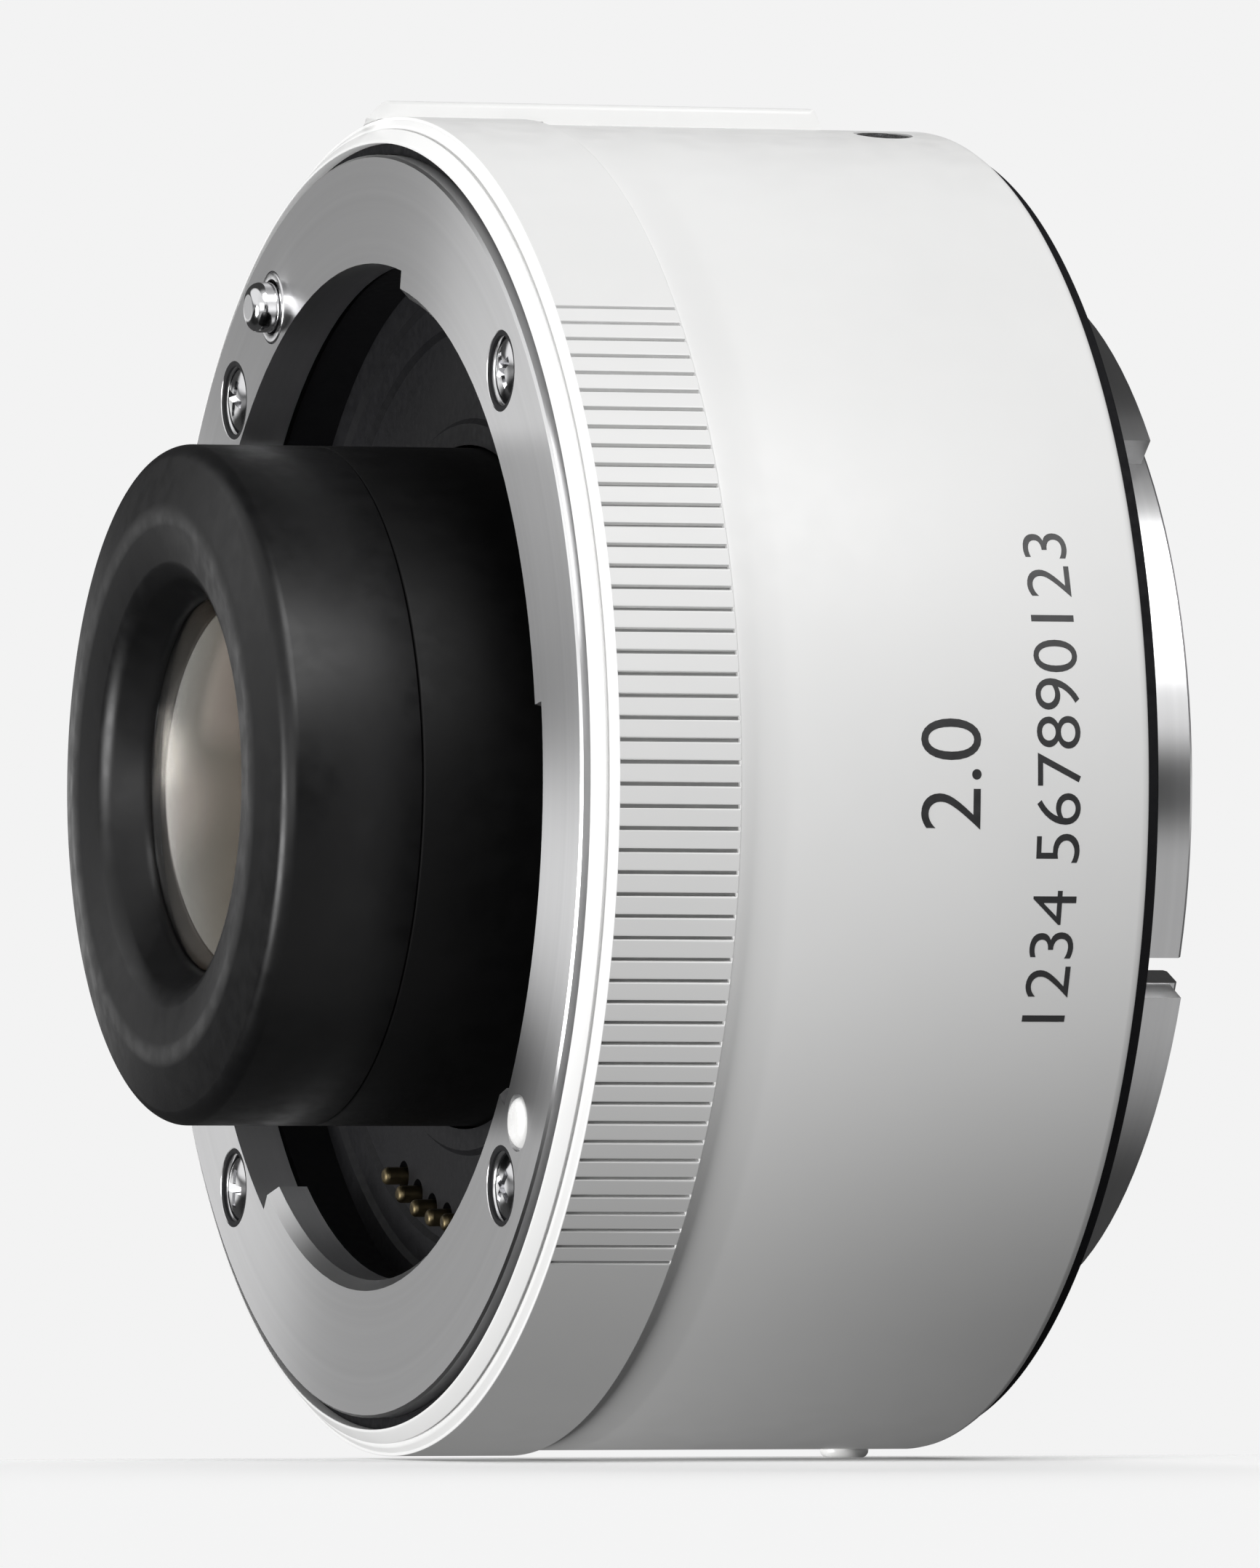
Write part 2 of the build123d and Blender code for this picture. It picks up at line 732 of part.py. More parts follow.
with BuildPart() as nose_tube:
    turn(
        outline(
            (spigot_x, lens_2["edge"] + fit),
            (spigot_x, spigot_r),
            (cap_end + fit, spigot_r),
            (cap_end + fit, nose_r),
            (web_x - cell_flange, nose_r),
            (web_x - cell_flange, cell_flange_r),
            (web_x, cell_flange_r),
            (web_x, cell_spigot_r),
            (web_end, cell_spigot_r),
            (web_end, cell_spigot_r - 2),
            (web_x, cell_spigot_r - 2),
            (web_x, lens_4["edge"] + fit),
            (ledge_end, lens_4["edge"] + fit),
            (ledge_end, ledge_r),
            (ledge_x, ledge_r),
            (ledge_x, lens_2["edge"] + fit),
        )
    )
    with Locations(*along(web_x, optics_screw_circle, optics_screw_angles, towards=-1)):
        Cylinder(small_screw_r + fit, cell_flange, align=low, mode=Mode.SUBTRACT)
save(nose_tube, "nose_tube")

with BuildPart() as front_cell_retaining_ring:
    turn(band(ring_2_x, ring_2_x + lens_wall, ring_2_r, lens_5["edge"] - fit))
save(front_cell_retaining_ring, "front_cell_retaining_ring")

rear_ledge_r = lens_7["edge"] - ring_overlap
rear_ledge_x = seat_behind(lens_7, rear_ledge_r)
rear_ledge_end = seat_before(lens_8, rear_ledge_r)

with BuildPart() as rear_lens_cell:
    turn(
        outline(
            (web_end, lens_6["edge"] + fit),
            (web_end, cell_flange_r),
            (web_end + cell_flange, cell_flange_r),
            (web_end + cell_flange, rear_cell_r),
            (rear_cell_end, rear_cell_r),
            (rear_cell_end, lens_8["edge"] + fit),
            (rear_ledge_end, lens_8["edge"] + fit),
            (rear_ledge_end, rear_ledge_r),
            (rear_ledge_x, rear_ledge_r),
            (rear_ledge_x, lens_6["edge"] + fit),
        )
    )
    with Locations(*along(web_end, optics_screw_circle, optics_screw_angles)):
        Cylinder(small_screw_r + fit, cell_flange, align=low, mode=Mode.SUBTRACT)
save(rear_lens_cell, "rear_lens_cell")

with BuildPart() as middle_retaining_ring:
    ring_end = seat_before(lens_6, rear_ledge_r)
    turn(band(ring_end - lens_wall, ring_end, rear_ledge_r, lens_6["edge"] - fit))
save(middle_retaining_ring, "middle_retaining_ring")

with BuildPart() as rear_retaining_ring:
    ring_4_r = lens_8["edge"] - ring_overlap
    ring_4_x = seat_behind(lens_8, ring_4_r)
    turn(band(ring_4_x, ring_4_x + lens_wall, ring_4_r, lens_8["edge"] - fit))
save(rear_retaining_ring, "rear_retaining_ring")

with BuildPart() as optics_screws:
    shank = cell_flange + web_thickness + small_bite
    with Locations(*along(web_end + cell_flange, optics_screw_circle, optics_screw_angles, towards=-1)):
        pan_screw(small_screw_r, small_head_r, small_head, shank)
save(optics_screws, "optics_screws")

# Lens lock pin and its release

with BuildPart() as lens_lock_pin:
    with Locations(*along(front - pin_proud, screw_circle, [pin_angle])):
        Cylinder(pin_r, pin_collar_x - front + pin_proud, align=low)
    with Locations(*along(pin_collar_x, screw_circle, [pin_angle])):
        Cylinder(pin_collar_r, pin_collar, align=low)
        Cylinder(pin_tail_r, pin_collar + pin_tail, align=low)
    tip = lens_lock_pin.edges().filter_by(GeomType.CIRCLE).sort_by(Axis.X)[0]
    fillet(tip, 0.5 * pin_r)
save(lens_lock_pin, "lens_lock_pin")

pin_place = around(pin_angle, screw_circle)
lock_pin_spring = coils(pin_collar_end, pin_post_x, pin_coil_r, pin_wire_r, pin_turns, [pin_place])
save(lock_pin_spring, "lock_pin_spring")

carriage_x = flange_end + gap
tongue_x = carriage_x + carriage_thickness
tongue_end = tongue_x + tongue_length
tongue_top = tongue_r + tongue_thickness
post_middles = [(start + end) / 2 for start, end in post_spans]

with BuildPart() as release_carriage:
    arc(carriage_x, tongue_x, carriage_inner_r, carriage_outer_r, carriage_start, carriage_stop)
    tongue_side = slide_half_angle - 1
    arc(carriage_x, tongue_end, tongue_r, tongue_top, slide_angle - tongue_side, slide_angle + tongue_side)
    with Locations(*along(carriage_x, screw_circle, [pin_angle])):
        Cylinder(pin_r + gap, 4 * carriage_thickness, mode=Mode.SUBTRACT)
    for x in post_middles:
        with Locations(*radial(x, tongue_r - 2 * fit, [slide_angle])):
            sunk_hole(slide_screw_r + fit, slide_head_r + 2 * fit, slide_head + 2 * fit, tongue_thickness + 1)
save(release_carriage, "release_carriage")

with BuildPart() as release_slide:
    slide_base = barrel_r + gap
    step_x = barrel_x + release_travel + gap
    slide_profile = outline(
        (slide_x, grip_r + gap),
        (slide_x + slide_slope, slide_r),
        (slide_end - slide_slope, slide_r),
        (slide_end, slide_base),
        (step_x, slide_base),
        (step_x, grip_r + gap),
        angle=slide_angle - slide_half_angle,
    )
    revolve(slide_profile, axis=Axis.X, revolution_arc=2 * slide_half_angle)
    crown_edges = release_slide.edges().group_by(SortBy.LENGTH)[-1]
    fillet(crown_edges.sort_by(Axis.Z)[-2:], slide_round)
    for start, end in post_spans:
        a0 = slide_angle - post_half_angle
        arc(start, end, tongue_top, slide_base + bite, a0, a0 + 2 * post_half_angle)
    for x in post_middles:
        with Locations(*radial(x, tongue_top, [slide_angle])):
            Cylinder(slide_screw_r + fit, slide_screw_bite + hole_floor, align=low, mode=Mode.SUBTRACT)
save(release_slide, "release_slide")

with BuildPart() as slide_screws:
    for x in post_middles:
        with Locations(*radial(x, tongue_r, [slide_angle])):
            sunk_screw(slide_screw_r, slide_head_r - fit, slide_head, tongue_thickness + slide_screw_bite)
save(slide_screws, "slide_screws")

spring_place = around(slide_angle, (frame_tube_r + barrel_bore) / 2)
release_spring = coils(
    tongue_end, frame_end - rear_land, release_coil_r, release_wire_r, release_turns, [spring_place]
)
save(release_spring, "release_spring")

# Front contacts

block_side = contact_pitch * (contact_count - 1) / 2 + contact_block_margin
block_r = contact_circle - contact_block_width / 2
block_top_r = contact_circle + contact_block_width / 2
block_end = floor_end + contact_block_depth
cavity_x = floor_end + contact_lip
cavity_end = block_end - contact_lid
collar_x = cavity_x + gap
collar_end = collar_x + contact_collar

with BuildPart() as front_contact_block:
    arc(floor_end, block_end, block_r, block_top_r, bead_angle - block_side, bead_angle + block_side)
    with Locations(*along(floor_end, contact_circle, contact_angles)):
        Cylinder(contact_r + running, contact_lip, align=low, mode=Mode.SUBTRACT)
    with Locations(*along(cavity_x, contact_circle, contact_angles)):
        Cylinder(contact_cavity_r, cavity_end - cavity_x, align=low, mode=Mode.SUBTRACT)
save(front_contact_block, "front_contact_block")

for n, angle in enumerate(contact_angles, start=1):
    with BuildPart() as contact_pin:
        with Locations(*along(floor_x - contact_proud, contact_circle, [angle])):
            Cylinder(contact_r, collar_end - floor_x + contact_proud, align=low)
        with Locations(*along(collar_x, contact_circle, [angle])):
            Cylinder(contact_collar_r, contact_collar, align=low)
        tip = contact_pin.edges().filter_by(GeomType.CIRCLE).sort_by(Axis.X)[0]
        fillet(tip, 0.6 * contact_r)
    save(contact_pin, f"contact_pin_{n:02d}")

contact_places = [around(angle, contact_circle) for angle in contact_angles]
contact_pin_springs = coils(
    collar_end, cavity_end, contact_coil_r, contact_wire_r, contact_turns, contact_places
)
save(contact_pin_springs, "contact_pin_springs")

# Circuit board and flat cables

with BuildPart() as circuit_board:
    turn(band(board_x, board_end, board_inner_r, board_r))
    with Locations(*along(board_x, board_screw_circle, board_screw_angles)):
        Cylinder(small_screw_r + fit, 3 * board_thickness, mode=Mode.SUBTRACT)
save(circuit_board, "circuit_board")

with BuildPart() as circuit_chips:
    chip_circle = (board_inner_r + board_r) / 2
    with Locations(*along(board_end, chip_circle, [60])):
        Box(*main_chip, align=low)
    with Locations(*along(board_end, chip_circle, [180])):
        Box(*second_chip, align=low)
    with Locations(*along(board_end, chip_circle, [90, 150])):
        Box(*small_chip, align=low)
save(circuit_chips, "circuit_chips")

with BuildPart() as board_screws:
    with Locations(*along(board_end, board_screw_circle, board_screw_angles, towards=-1)):
        pan_screw(small_screw_r, small_head_r, small_head, board_thickness + standoff - 5 * hole_floor)
save(board_screws, "board_screws")

cable_top = cable_r + cable_thickness / 2
cable_low = cable_r - cable_thickness / 2

with BuildPart() as front_flat_cable:
    with BuildSketch(meridian(bead_angle)):
        with BuildLine():
            Polyline(
                (block_end, cable_low - cable_foot),
                (block_end + cable_thickness, cable_low - cable_foot),
                (block_end + cable_thickness, cable_low),
                (board_x, cable_low),
                (board_x, cable_top + cable_foot),
                (board_x - cable_thickness, cable_top + cable_foot),
                (board_x - cable_thickness, cable_top),
                (block_end, cable_top),
                close=True,
            )
        make_face()
    extrude(amount=cable_width / 2, both=True)
save(front_flat_cable, "front_flat_cable")

spigot_bore = spigot_tube_r - spigot_wall
rear_block_x = frame_end + rear_block_front
rear_block_r = spigot_bore - rear_block_seat - rear_block_width
rear_cable_low = rear_block_r + rear_block_width / 2
rear_cable_top = rear_cable_low + cable_thickness

with BuildPart() as rear_flat_cable:
    with BuildSketch(meridian(bead_angle)):
        with BuildLine():
            Polyline(
                (board_end, rear_cable_low),
                (rear_block_x - cable_thickness, rear_cable_low),
                (rear_block_x - cable_thickness, rear_cable_low - cable_foot),
                (rear_block_x, rear_cable_low - cable_foot),
                (rear_block_x, rear_cable_top),
                (board_end + cable_thickness, rear_cable_top),
                (board_end + cable_thickness, rear_cable_top + cable_foot),
                (board_end, rear_cable_top + cable_foot),
                close=True,
            )
        make_face()
    extrude(amount=cable_width / 2, both=True)
save(rear_flat_cable, "rear_flat_cable")

# The camera-side mount

tab_end = spigot_reach - tab_setback

with BuildPart() as rear_mount:
    turn(
        outline(
            (frame_end, spigot_bore),
            (frame_end, rear_plate_r),
            (0, rear_plate_r),
            (0, spigot_tube_r),
            (spigot_reach, spigot_tube_r),
            (spigot_reach, spigot_bore),
        )
    )
    for a0, a1 in tab_spans:
        arc(tab_end - tab_thickness, tab_end, spigot_tube_r - bite, tab_r, a0, a1)
    rim_edges = rear_mount.edges().filter_by(GeomType.CIRCLE).group_by(Axis.X)[-1]
    chamfer(rim_edges, 0.15)
    with Locations(*radial(spigot_reach, spigot_tube_r, [notch_angle])):
        Box(notch_depth, notch_width, 4 * spigot_wall, align=(Align.MAX, Align.CENTER, Align.CENTER),
            mode=Mode.SUBTRACT)
    with Locations(*along(0, screw_circle, screw_angles, towards=-1)):
        sunk_hole(screw_r + fit, sink_r, sink_depth, rear_plate + 1)
    with Locations(*along(0, screw_circle, [pin_angle], towards=-1)):
        Cylinder(lock_hole_r, lock_hole_depth, align=low, mode=Mode.SUBTRACT)
save(rear_mount, "rear_mount")

with BuildPart() as rear_mount_screws:
    with Locations(*along(-sink_recess, screw_circle, screw_angles, towards=-1)):
        sunk_screw(screw_r, head_r, head_depth, rear_plate + rear_flange - 3 * hole_floor)
save(rear_mount_screws, "rear_mount_screws")

with BuildPart() as rear_seal:
    turn(band(-seal_seat + fit, 0, rear_plate_r + fit, seal_r))
    chamfer(rear_seal.edges().filter_by(GeomType.CIRCLE).group_by(Axis.X)[-1], 0.1)
save(rear_seal, "rear_seal")

with BuildPart() as rear_baffle:
    cup_r = spigot_bore - fit
    cup_end = spigot_reach - cup_setback
    turn(
        outline(
            (frame_end - baffle_plate, 0),
            (frame_end - baffle_plate, rear_flange_bore - fit),
            (frame_end, rear_flange_bore - fit),
            (frame_end, cup_r),
            (cup_end, cup_r),
            (cup_end, cup_r - cup_wall),
            (frame_end + baffle_lip, cup_r - cup_wall),
            (frame_end + baffle_lip, 0),
        )
    )
    with BuildSketch(Plane.YZ.offset(frame_end - 2 * baffle_plate)):
        RectangleRounded(window_width, window_height, window_round)
    extrude(amount=4 * baffle_plate, mode=Mode.SUBTRACT)
    side = block_side + 2
    arc(
        frame_end - 2 * baffle_plate,
        spigot_reach,
        rear_block_r - gap,
        rear_flange_bore + 1,
        bead_angle - side,
        bead_angle + side,
        mode=Mode.SUBTRACT,
    )
save(rear_baffle, "rear_baffle")

with BuildPart() as rear_contact_block:
    block_x1 = spigot_reach - rear_block_end
    arc(
        rear_block_x,
        block_x1,
        rear_block_r,
        spigot_bore,
        bead_angle - block_side,
        bead_angle + block_side,
    )
save(rear_contact_block, "rear_contact_block")

with BuildPart() as rear_contact_pads:
    pad_circle = rear_block_r + rear_block_width / 2
    with Locations(*along(block_x1, pad_circle, contact_angles)):
        Cylinder(pad_width / 2, pad_height, align=low)
save(rear_contact_pads, "rear_contact_pads")
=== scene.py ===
# %% [markdown]
# A teleconverter sits between a camera and its lens and makes the lens twice as long. This lesson takes
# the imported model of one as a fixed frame, and gives it the finishes and the small shapes that a camera
# sees: satin paint, turned chrome, black anodised metal, coated glass, ribs, screws and marks. The optical
# axis is X, with the lens side at -X, and Z is up. Everything is in metres.

# %% Load the frame
import math

import bmesh
import bpy
from mathutils import Matrix, Vector


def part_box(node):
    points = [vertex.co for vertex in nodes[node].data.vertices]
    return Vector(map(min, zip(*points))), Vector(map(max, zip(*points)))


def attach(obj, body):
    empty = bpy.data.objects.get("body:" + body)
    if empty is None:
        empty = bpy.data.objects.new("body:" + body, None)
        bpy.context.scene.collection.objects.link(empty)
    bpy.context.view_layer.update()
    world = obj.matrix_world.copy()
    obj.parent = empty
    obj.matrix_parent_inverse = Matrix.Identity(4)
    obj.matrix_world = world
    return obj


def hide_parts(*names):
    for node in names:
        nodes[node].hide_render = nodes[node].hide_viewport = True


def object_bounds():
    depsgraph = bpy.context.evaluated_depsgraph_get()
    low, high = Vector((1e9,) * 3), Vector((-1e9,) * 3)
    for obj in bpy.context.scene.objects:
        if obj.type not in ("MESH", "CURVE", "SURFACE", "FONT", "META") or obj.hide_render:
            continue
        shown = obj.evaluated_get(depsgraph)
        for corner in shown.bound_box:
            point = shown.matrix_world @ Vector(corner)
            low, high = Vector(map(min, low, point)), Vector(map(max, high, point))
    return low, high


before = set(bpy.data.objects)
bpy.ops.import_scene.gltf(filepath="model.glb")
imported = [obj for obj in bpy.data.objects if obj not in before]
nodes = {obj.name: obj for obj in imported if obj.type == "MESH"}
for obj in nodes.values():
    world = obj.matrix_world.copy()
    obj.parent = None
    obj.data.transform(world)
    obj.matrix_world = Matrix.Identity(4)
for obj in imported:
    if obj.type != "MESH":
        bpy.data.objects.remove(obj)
cad_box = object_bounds()

# %% [markdown]
# Product photographs of short barrels are taken with a long lens from far off, so that circles stay near
# ellipses of one shape. The camera stands a metre away, a little to the lens side and a little below the
# optical axis, close above the table.

# %% Camera
MM = 0.001
TARGET = Vector((-14.73, 0, 0.2)) * MM
DISTANCE = 1.0
FOCAL_LENGTH = 486.7
SENSOR_WIDTH = 36
AZIMUTH = math.radians(-20.17)
ELEVATION = math.radians(-1.2)

camera = bpy.data.objects.new("camera", bpy.data.cameras.new("camera"))
camera.data.lens = FOCAL_LENGTH
camera.data.sensor_width = SENSOR_WIDTH
camera.data.clip_start = 0.01
camera.data.clip_end = 100
back = Vector((
    math.sin(AZIMUTH) * math.cos(ELEVATION),
    -math.cos(AZIMUTH) * math.cos(ELEVATION),
    math.sin(ELEVATION),
))
camera.location = TARGET + back * DISTANCE
camera.rotation_mode = "QUATERNION"
camera.rotation_quaternion = (-back).to_track_quat("-Z", "Y")
bpy.context.scene.collection.objects.link(camera)
bpy.context.scene.camera = camera
bpy.context.scene.view_settings.view_transform = "Standard"
print("camera at", [round(v, 4) for v in camera.location])

# %% [markdown]
# Node trees are easier to read when each node takes one line. The first helper adds a node and fills its
# sockets by name, and the others add the few nodes that every finish uses.


# %% Node helpers
def add(tree, kind, settings=None, **sockets):
    """A new node. Settings are its own properties, and sockets take a number, a colour or a link."""
    node = tree.nodes.new(kind)
    for name, value in (settings or {}).items():
        setattr(node, name, value)
    for name, value in sockets.items():
        socket = node.inputs[name.replace("_", " ")]
        if isinstance(value, bpy.types.NodeSocket):
            tree.links.new(value, socket)
        else:
            socket.default_value = value
    return node


def calculate(tree, operation, *values):
    """A Math node with its operands in order."""
    node = tree.nodes.new("ShaderNodeMath")
    node.operation = operation
    for socket, value in zip(node.inputs, values):
        if isinstance(value, bpy.types.NodeSocket):
            tree.links.new(value, socket)
        else:
            socket.default_value = value
    return node.outputs[0]


def ease(tree, value, start, end, first, last):
    """A value that goes smoothly from first to last while another goes from start to end."""
    node = add(
        tree,
        "ShaderNodeMapRange",
        {"interpolation_type": "SMOOTHSTEP"},
        From_Min=start,
        From_Max=end,
        To_Min=first,
        To_Max=last,
    )
    tree.links.new(value, node.inputs["Value"])
    return node.outputs["Result"]


def blend_values(tree, share, first, second):
    """One value fading into another by a share from 0 to 1."""
    return calculate(
        tree,
        "ADD",
        calculate(tree, "MULTIPLY", first, calculate(tree, "SUBTRACT", 1.0, share)),
        calculate(tree, "MULTIPLY", second, share),
    )


# %% [markdown]
# The light is a plain white studio. The world gives it, in three parts. What the camera sees, also through
# glass, is one flat pale grey. What shines on matt surfaces is a low fill. What polished metal mirrors is
# a bright band at the horizon behind the object with a panel over it, a narrow strip light at the lens
# side of the camera, and a dark gap where the camera stands. The gap draws the dark line that every round
# chrome part shows.

# %% World
BACKDROP = 0.896
SKY_TOP = 0.15
SKY_LOW = 0.08
BAND_REST = 0.06
PANEL_LEVEL = 1.1
BELOW_LEVEL = 0.5
GAP_LEVEL = 0.03
STRIP_LEVEL = 2.4
STRIP_PLACE = -0.58


def studio_world():
    world = bpy.data.worlds.new("studio")
    world.use_nodes = True
    world.cycles.sampling_method = "NONE"
    tree = world.node_tree
    tree.nodes.clear()
    rays = add(tree, "ShaderNodeLightPath").outputs
    way = add(tree, "ShaderNodeTexCoord").outputs["Generated"]
    axes = add(tree, "ShaderNodeSeparateXYZ", Vector=way).outputs
    height = calculate(tree, "ABSOLUTE", axes["Z"])
    to_camera = ease(tree, axes["Y"], 0.1, -0.6, 0.0, 1.0)

    matt = ease(tree, axes["Z"], -0.45, 0.55, SKY_LOW, SKY_TOP)
    band = ease(tree, height, 0.0, 0.10, 1.0, BAND_REST)
    band = calculate(tree, "MULTIPLY", band, ease(tree, axes["X"], -0.65, -0.42, 0.35, 1.0))
    panel = ease(tree, axes["X"], -0.40, -0.52, 0.0, PANEL_LEVEL)
    panel = calculate(tree, "MULTIPLY", panel, ease(tree, axes["Z"], 0.05, 0.14, 0.0, 1.0))
    behind = calculate(tree, "MAXIMUM", band, panel)
    above_or_below = ease(tree, axes["Z"], -0.2, 0.2, BELOW_LEVEL, 1.0)
    gap = ease(tree, height, 0.06, 0.26, 1.0, 0.0)
    gap = calculate(tree, "MULTIPLY", gap, ease(tree, axes["X"], -0.5, -0.1, 0.0, 1.0))
    in_front = blend_values(tree, gap, above_or_below, GAP_LEVEL)
    from_strip = calculate(tree, "ABSOLUTE", calculate(tree, "SUBTRACT", axes["X"], STRIP_PLACE))
    strip = ease(tree, from_strip, 0.15, 0.35, STRIP_LEVEL, 0.0)
    strip = calculate(tree, "MULTIPLY", strip, ease(tree, height, 0.1, 0.35, 1.0, 0.0))
    in_front = calculate(tree, "ADD", in_front, strip)
    mirrored = blend_values(tree, to_camera, behind, in_front)

    seen = calculate(tree, "MAXIMUM", rays["Is Camera Ray"], rays["Is Transmission Ray"])
    level = blend_values(tree, rays["Is Glossy Ray"], matt, mirrored)
    level = blend_values(tree, seen, level, BACKDROP)
    light = add(tree, "ShaderNodeBackground", Color=(1, 1, 1, 1), Strength=level)
    out = add(tree, "ShaderNodeOutputWorld")
    tree.links.new(light.outputs[0], out.inputs["Surface"])
    return world


bpy.context.scene.world = studio_world()

# %% [markdown]
# Three broad lamps shape the object. The key comes from the camera's side, well above the barrel. The
# side light comes from the lens side and a little from below, so that everything that faces the lens stays
# white right down to the table. The back light draws the soft shadow in front of the object, and isn't
# mirrored in the paint. All are suns, because a sun lights the table evenly everywhere.


# %% Lamps
def sun(name, towards_light, level, spread):
    """A sun with its light given as the level at which a white surface that faces it would render."""
    lamp = bpy.data.objects.new(name, bpy.data.lights.new(name, "SUN"))
    lamp.data.energy = level * math.pi
    lamp.data.angle = math.radians(spread)
    lamp.rotation_mode = "QUATERNION"
    lamp.rotation_quaternion = Vector(towards_light).to_track_quat("Z", "Y")
    bpy.context.scene.collection.objects.link(lamp)
    return lamp


sun("key_light", (0.0, -0.71, 0.704), 0.82, 40)
sun("side_light", (-0.975, -0.05, -0.20), 1.0, 30)
back_light = sun("back_light", (0.20, 0.68, 0.70), 0.28, 40)
back_light.visible_glossy = False

# %% [markdown]
# The table is one big disc under the object. It takes the object's shadow. It gives no light back to the
# object and keeps none from it, as if it were clear from below, so the lamps may shine up through it.
# Behind the object it fades out, and the backdrop of the same pale grey takes over.

# %% Floor
FLOOR_COLOUR = 0.98
FLOOR_RADIUS = 20.0
FADE_START = -0.004
FADE_END = 0.010


def floor_finish():
    material = bpy.data.materials.new("table")
    material.use_nodes = True
    tree = material.node_tree
    tree.nodes.clear()
    matt = add(tree, "ShaderNodeBsdfDiffuse", Color=(FLOOR_COLOUR, FLOOR_COLOUR, FLOOR_COLOUR, 1))
    clear = add(tree, "ShaderNodeBsdfTransparent")
    from_below = add(tree, "ShaderNodeNewGeometry").outputs["Backfacing"]
    place = add(tree, "ShaderNodeTexCoord").outputs["Object"]
    axes = add(tree, "ShaderNodeSeparateXYZ", Vector=place).outputs
    faded = ease(tree, axes["Y"], FADE_START, FADE_END, 0.0, 1.0)
    mix = add(tree, "ShaderNodeMixShader")
    tree.links.new(calculate(tree, "MAXIMUM", from_below, faded), mix.inputs[0])
    tree.links.new(matt.outputs[0], mix.inputs[1])
    tree.links.new(clear.outputs[0], mix.inputs[2])
    out = add(tree, "ShaderNodeOutputMaterial")
    tree.links.new(mix.outputs[0], out.inputs["Surface"])
    return material


def make_floor():
    disc = bmesh.new()
    bmesh.ops.create_circle(disc, cap_ends=True, segments=64, radius=FLOOR_RADIUS)
    bmesh.ops.translate(disc, verts=disc.verts, vec=(0, 0, cad_box[0].z))
    mesh = bpy.data.meshes.new("table")
    disc.to_mesh(mesh)
    disc.free()
    mesh.materials.append(floor_finish())
    table = bpy.data.objects.new("table", mesh)
    bpy.context.scene.collection.objects.link(table)
    table.visible_diffuse = False
    table.visible_glossy = False
    table.visible_shadow = False


make_floor()

# %% [markdown]
# Each finish starts as a Principled shader. Its even values are set on its own sockets, and what varies
# comes from noise on Object coordinates, at the scale of the real thing. A turned part has its marks
# in rings, so its pattern reads only the place along the axis and the distance from it.


# %% Finish helpers
def new_finish(name, colour, roughness, metallic=0.0):
    material = bpy.data.materials.new(name)
    material.use_nodes = True
    tree = material.node_tree
    shader = tree.nodes["Principled BSDF"]
    shader.inputs["Base Color"].default_value = (*colour, 1)
    shader.inputs["Roughness"].default_value = roughness
    shader.inputs["Metallic"].default_value = metallic
    material.diffuse_color = (*colour, 1)
    return material, tree, shader


def object_place(tree):
    return add(tree, "ShaderNodeTexCoord").outputs["Object"]


def ring_place(tree):
    """The place along the axis and the distance from it, for marks that run round a turned part."""
    axes = add(tree, "ShaderNodeSeparateXYZ", Vector=object_place(tree)).outputs
    from_axis = add(tree, "ShaderNodeCombineXYZ", Y=axes["Y"], Z=axes["Z"])
    distance = add(tree, "ShaderNodeVectorMath", {"operation": "LENGTH"})
    tree.links.new(from_axis.outputs[0], distance.inputs[0])
    return add(tree, "ShaderNodeCombineXYZ", X=axes["X"], Y=distance.outputs["Value"]).outputs[0]


def noise(tree, place, scale, detail):
    """A pattern with its scale in features per metre."""
    return add(tree, "ShaderNodeTexNoise", Vector=place, Scale=scale, Detail=detail).outputs["Fac"]


def vary_colour(tree, shader, share, colour, amount):
    """The base colour goes a little darker and lighter with a pattern."""
    dark = [c * (1 - amount) for c in colour]
    light = [min(1.0, c * (1 + amount)) for c in colour]
    ramp = add(tree, "ShaderNodeValToRGB", Fac=share)
    ramp.color_ramp.elements[0].position = 0.3
    ramp.color_ramp.elements[1].position = 0.7
    ramp.color_ramp.elements[0].color = (*dark, 1)
    ramp.color_ramp.elements[1].color = (*light, 1)
    tree.links.new(ramp.outputs["Color"], shader.inputs["Base Color"])


def vary_roughness(tree, shader, share, low, high):
    tree.links.new(ease(tree, share, 0.3, 0.7, low, high), shader.inputs["Roughness"])


def bump(tree, shader, height, strength, depth):
    node = add(tree, "ShaderNodeBump", Height=height, Strength=strength, Distance=depth)
    tree.links.new(node.outputs["Normal"], shader.inputs["Normal"])


# %% [markdown]
# The shell's paint is a satin off-white. Close up it has the very fine grain of a sprayed coat, and from
# a step away it is even.


# %% White paint
def white_paint():
    colour = (0.86, 0.86, 0.855)
    material, tree, shader = new_finish("white_paint", colour, 0.38)
    shader.inputs["Specular IOR Level"].default_value = 0.3
    place = object_place(tree)
    vary_colour(tree, shader, noise(tree, place, 90, 3), colour, 0.012)
    vary_roughness(tree, shader, noise(tree, place, 700, 2), 0.35, 0.42)
    bump(tree, shader, noise(tree, place, 9000, 2), 0.06, 4e-6)
    return material


# %% [markdown]
# The mounts are turned brass with satin chrome on it. Turning leaves rings too fine to see one by one,
# which spread a reflection across them and leave it sharp along them. That is what anisotropy is for. Its
# direction at each point goes round the optical axis, and a quarter of a turn lays the spread across it.


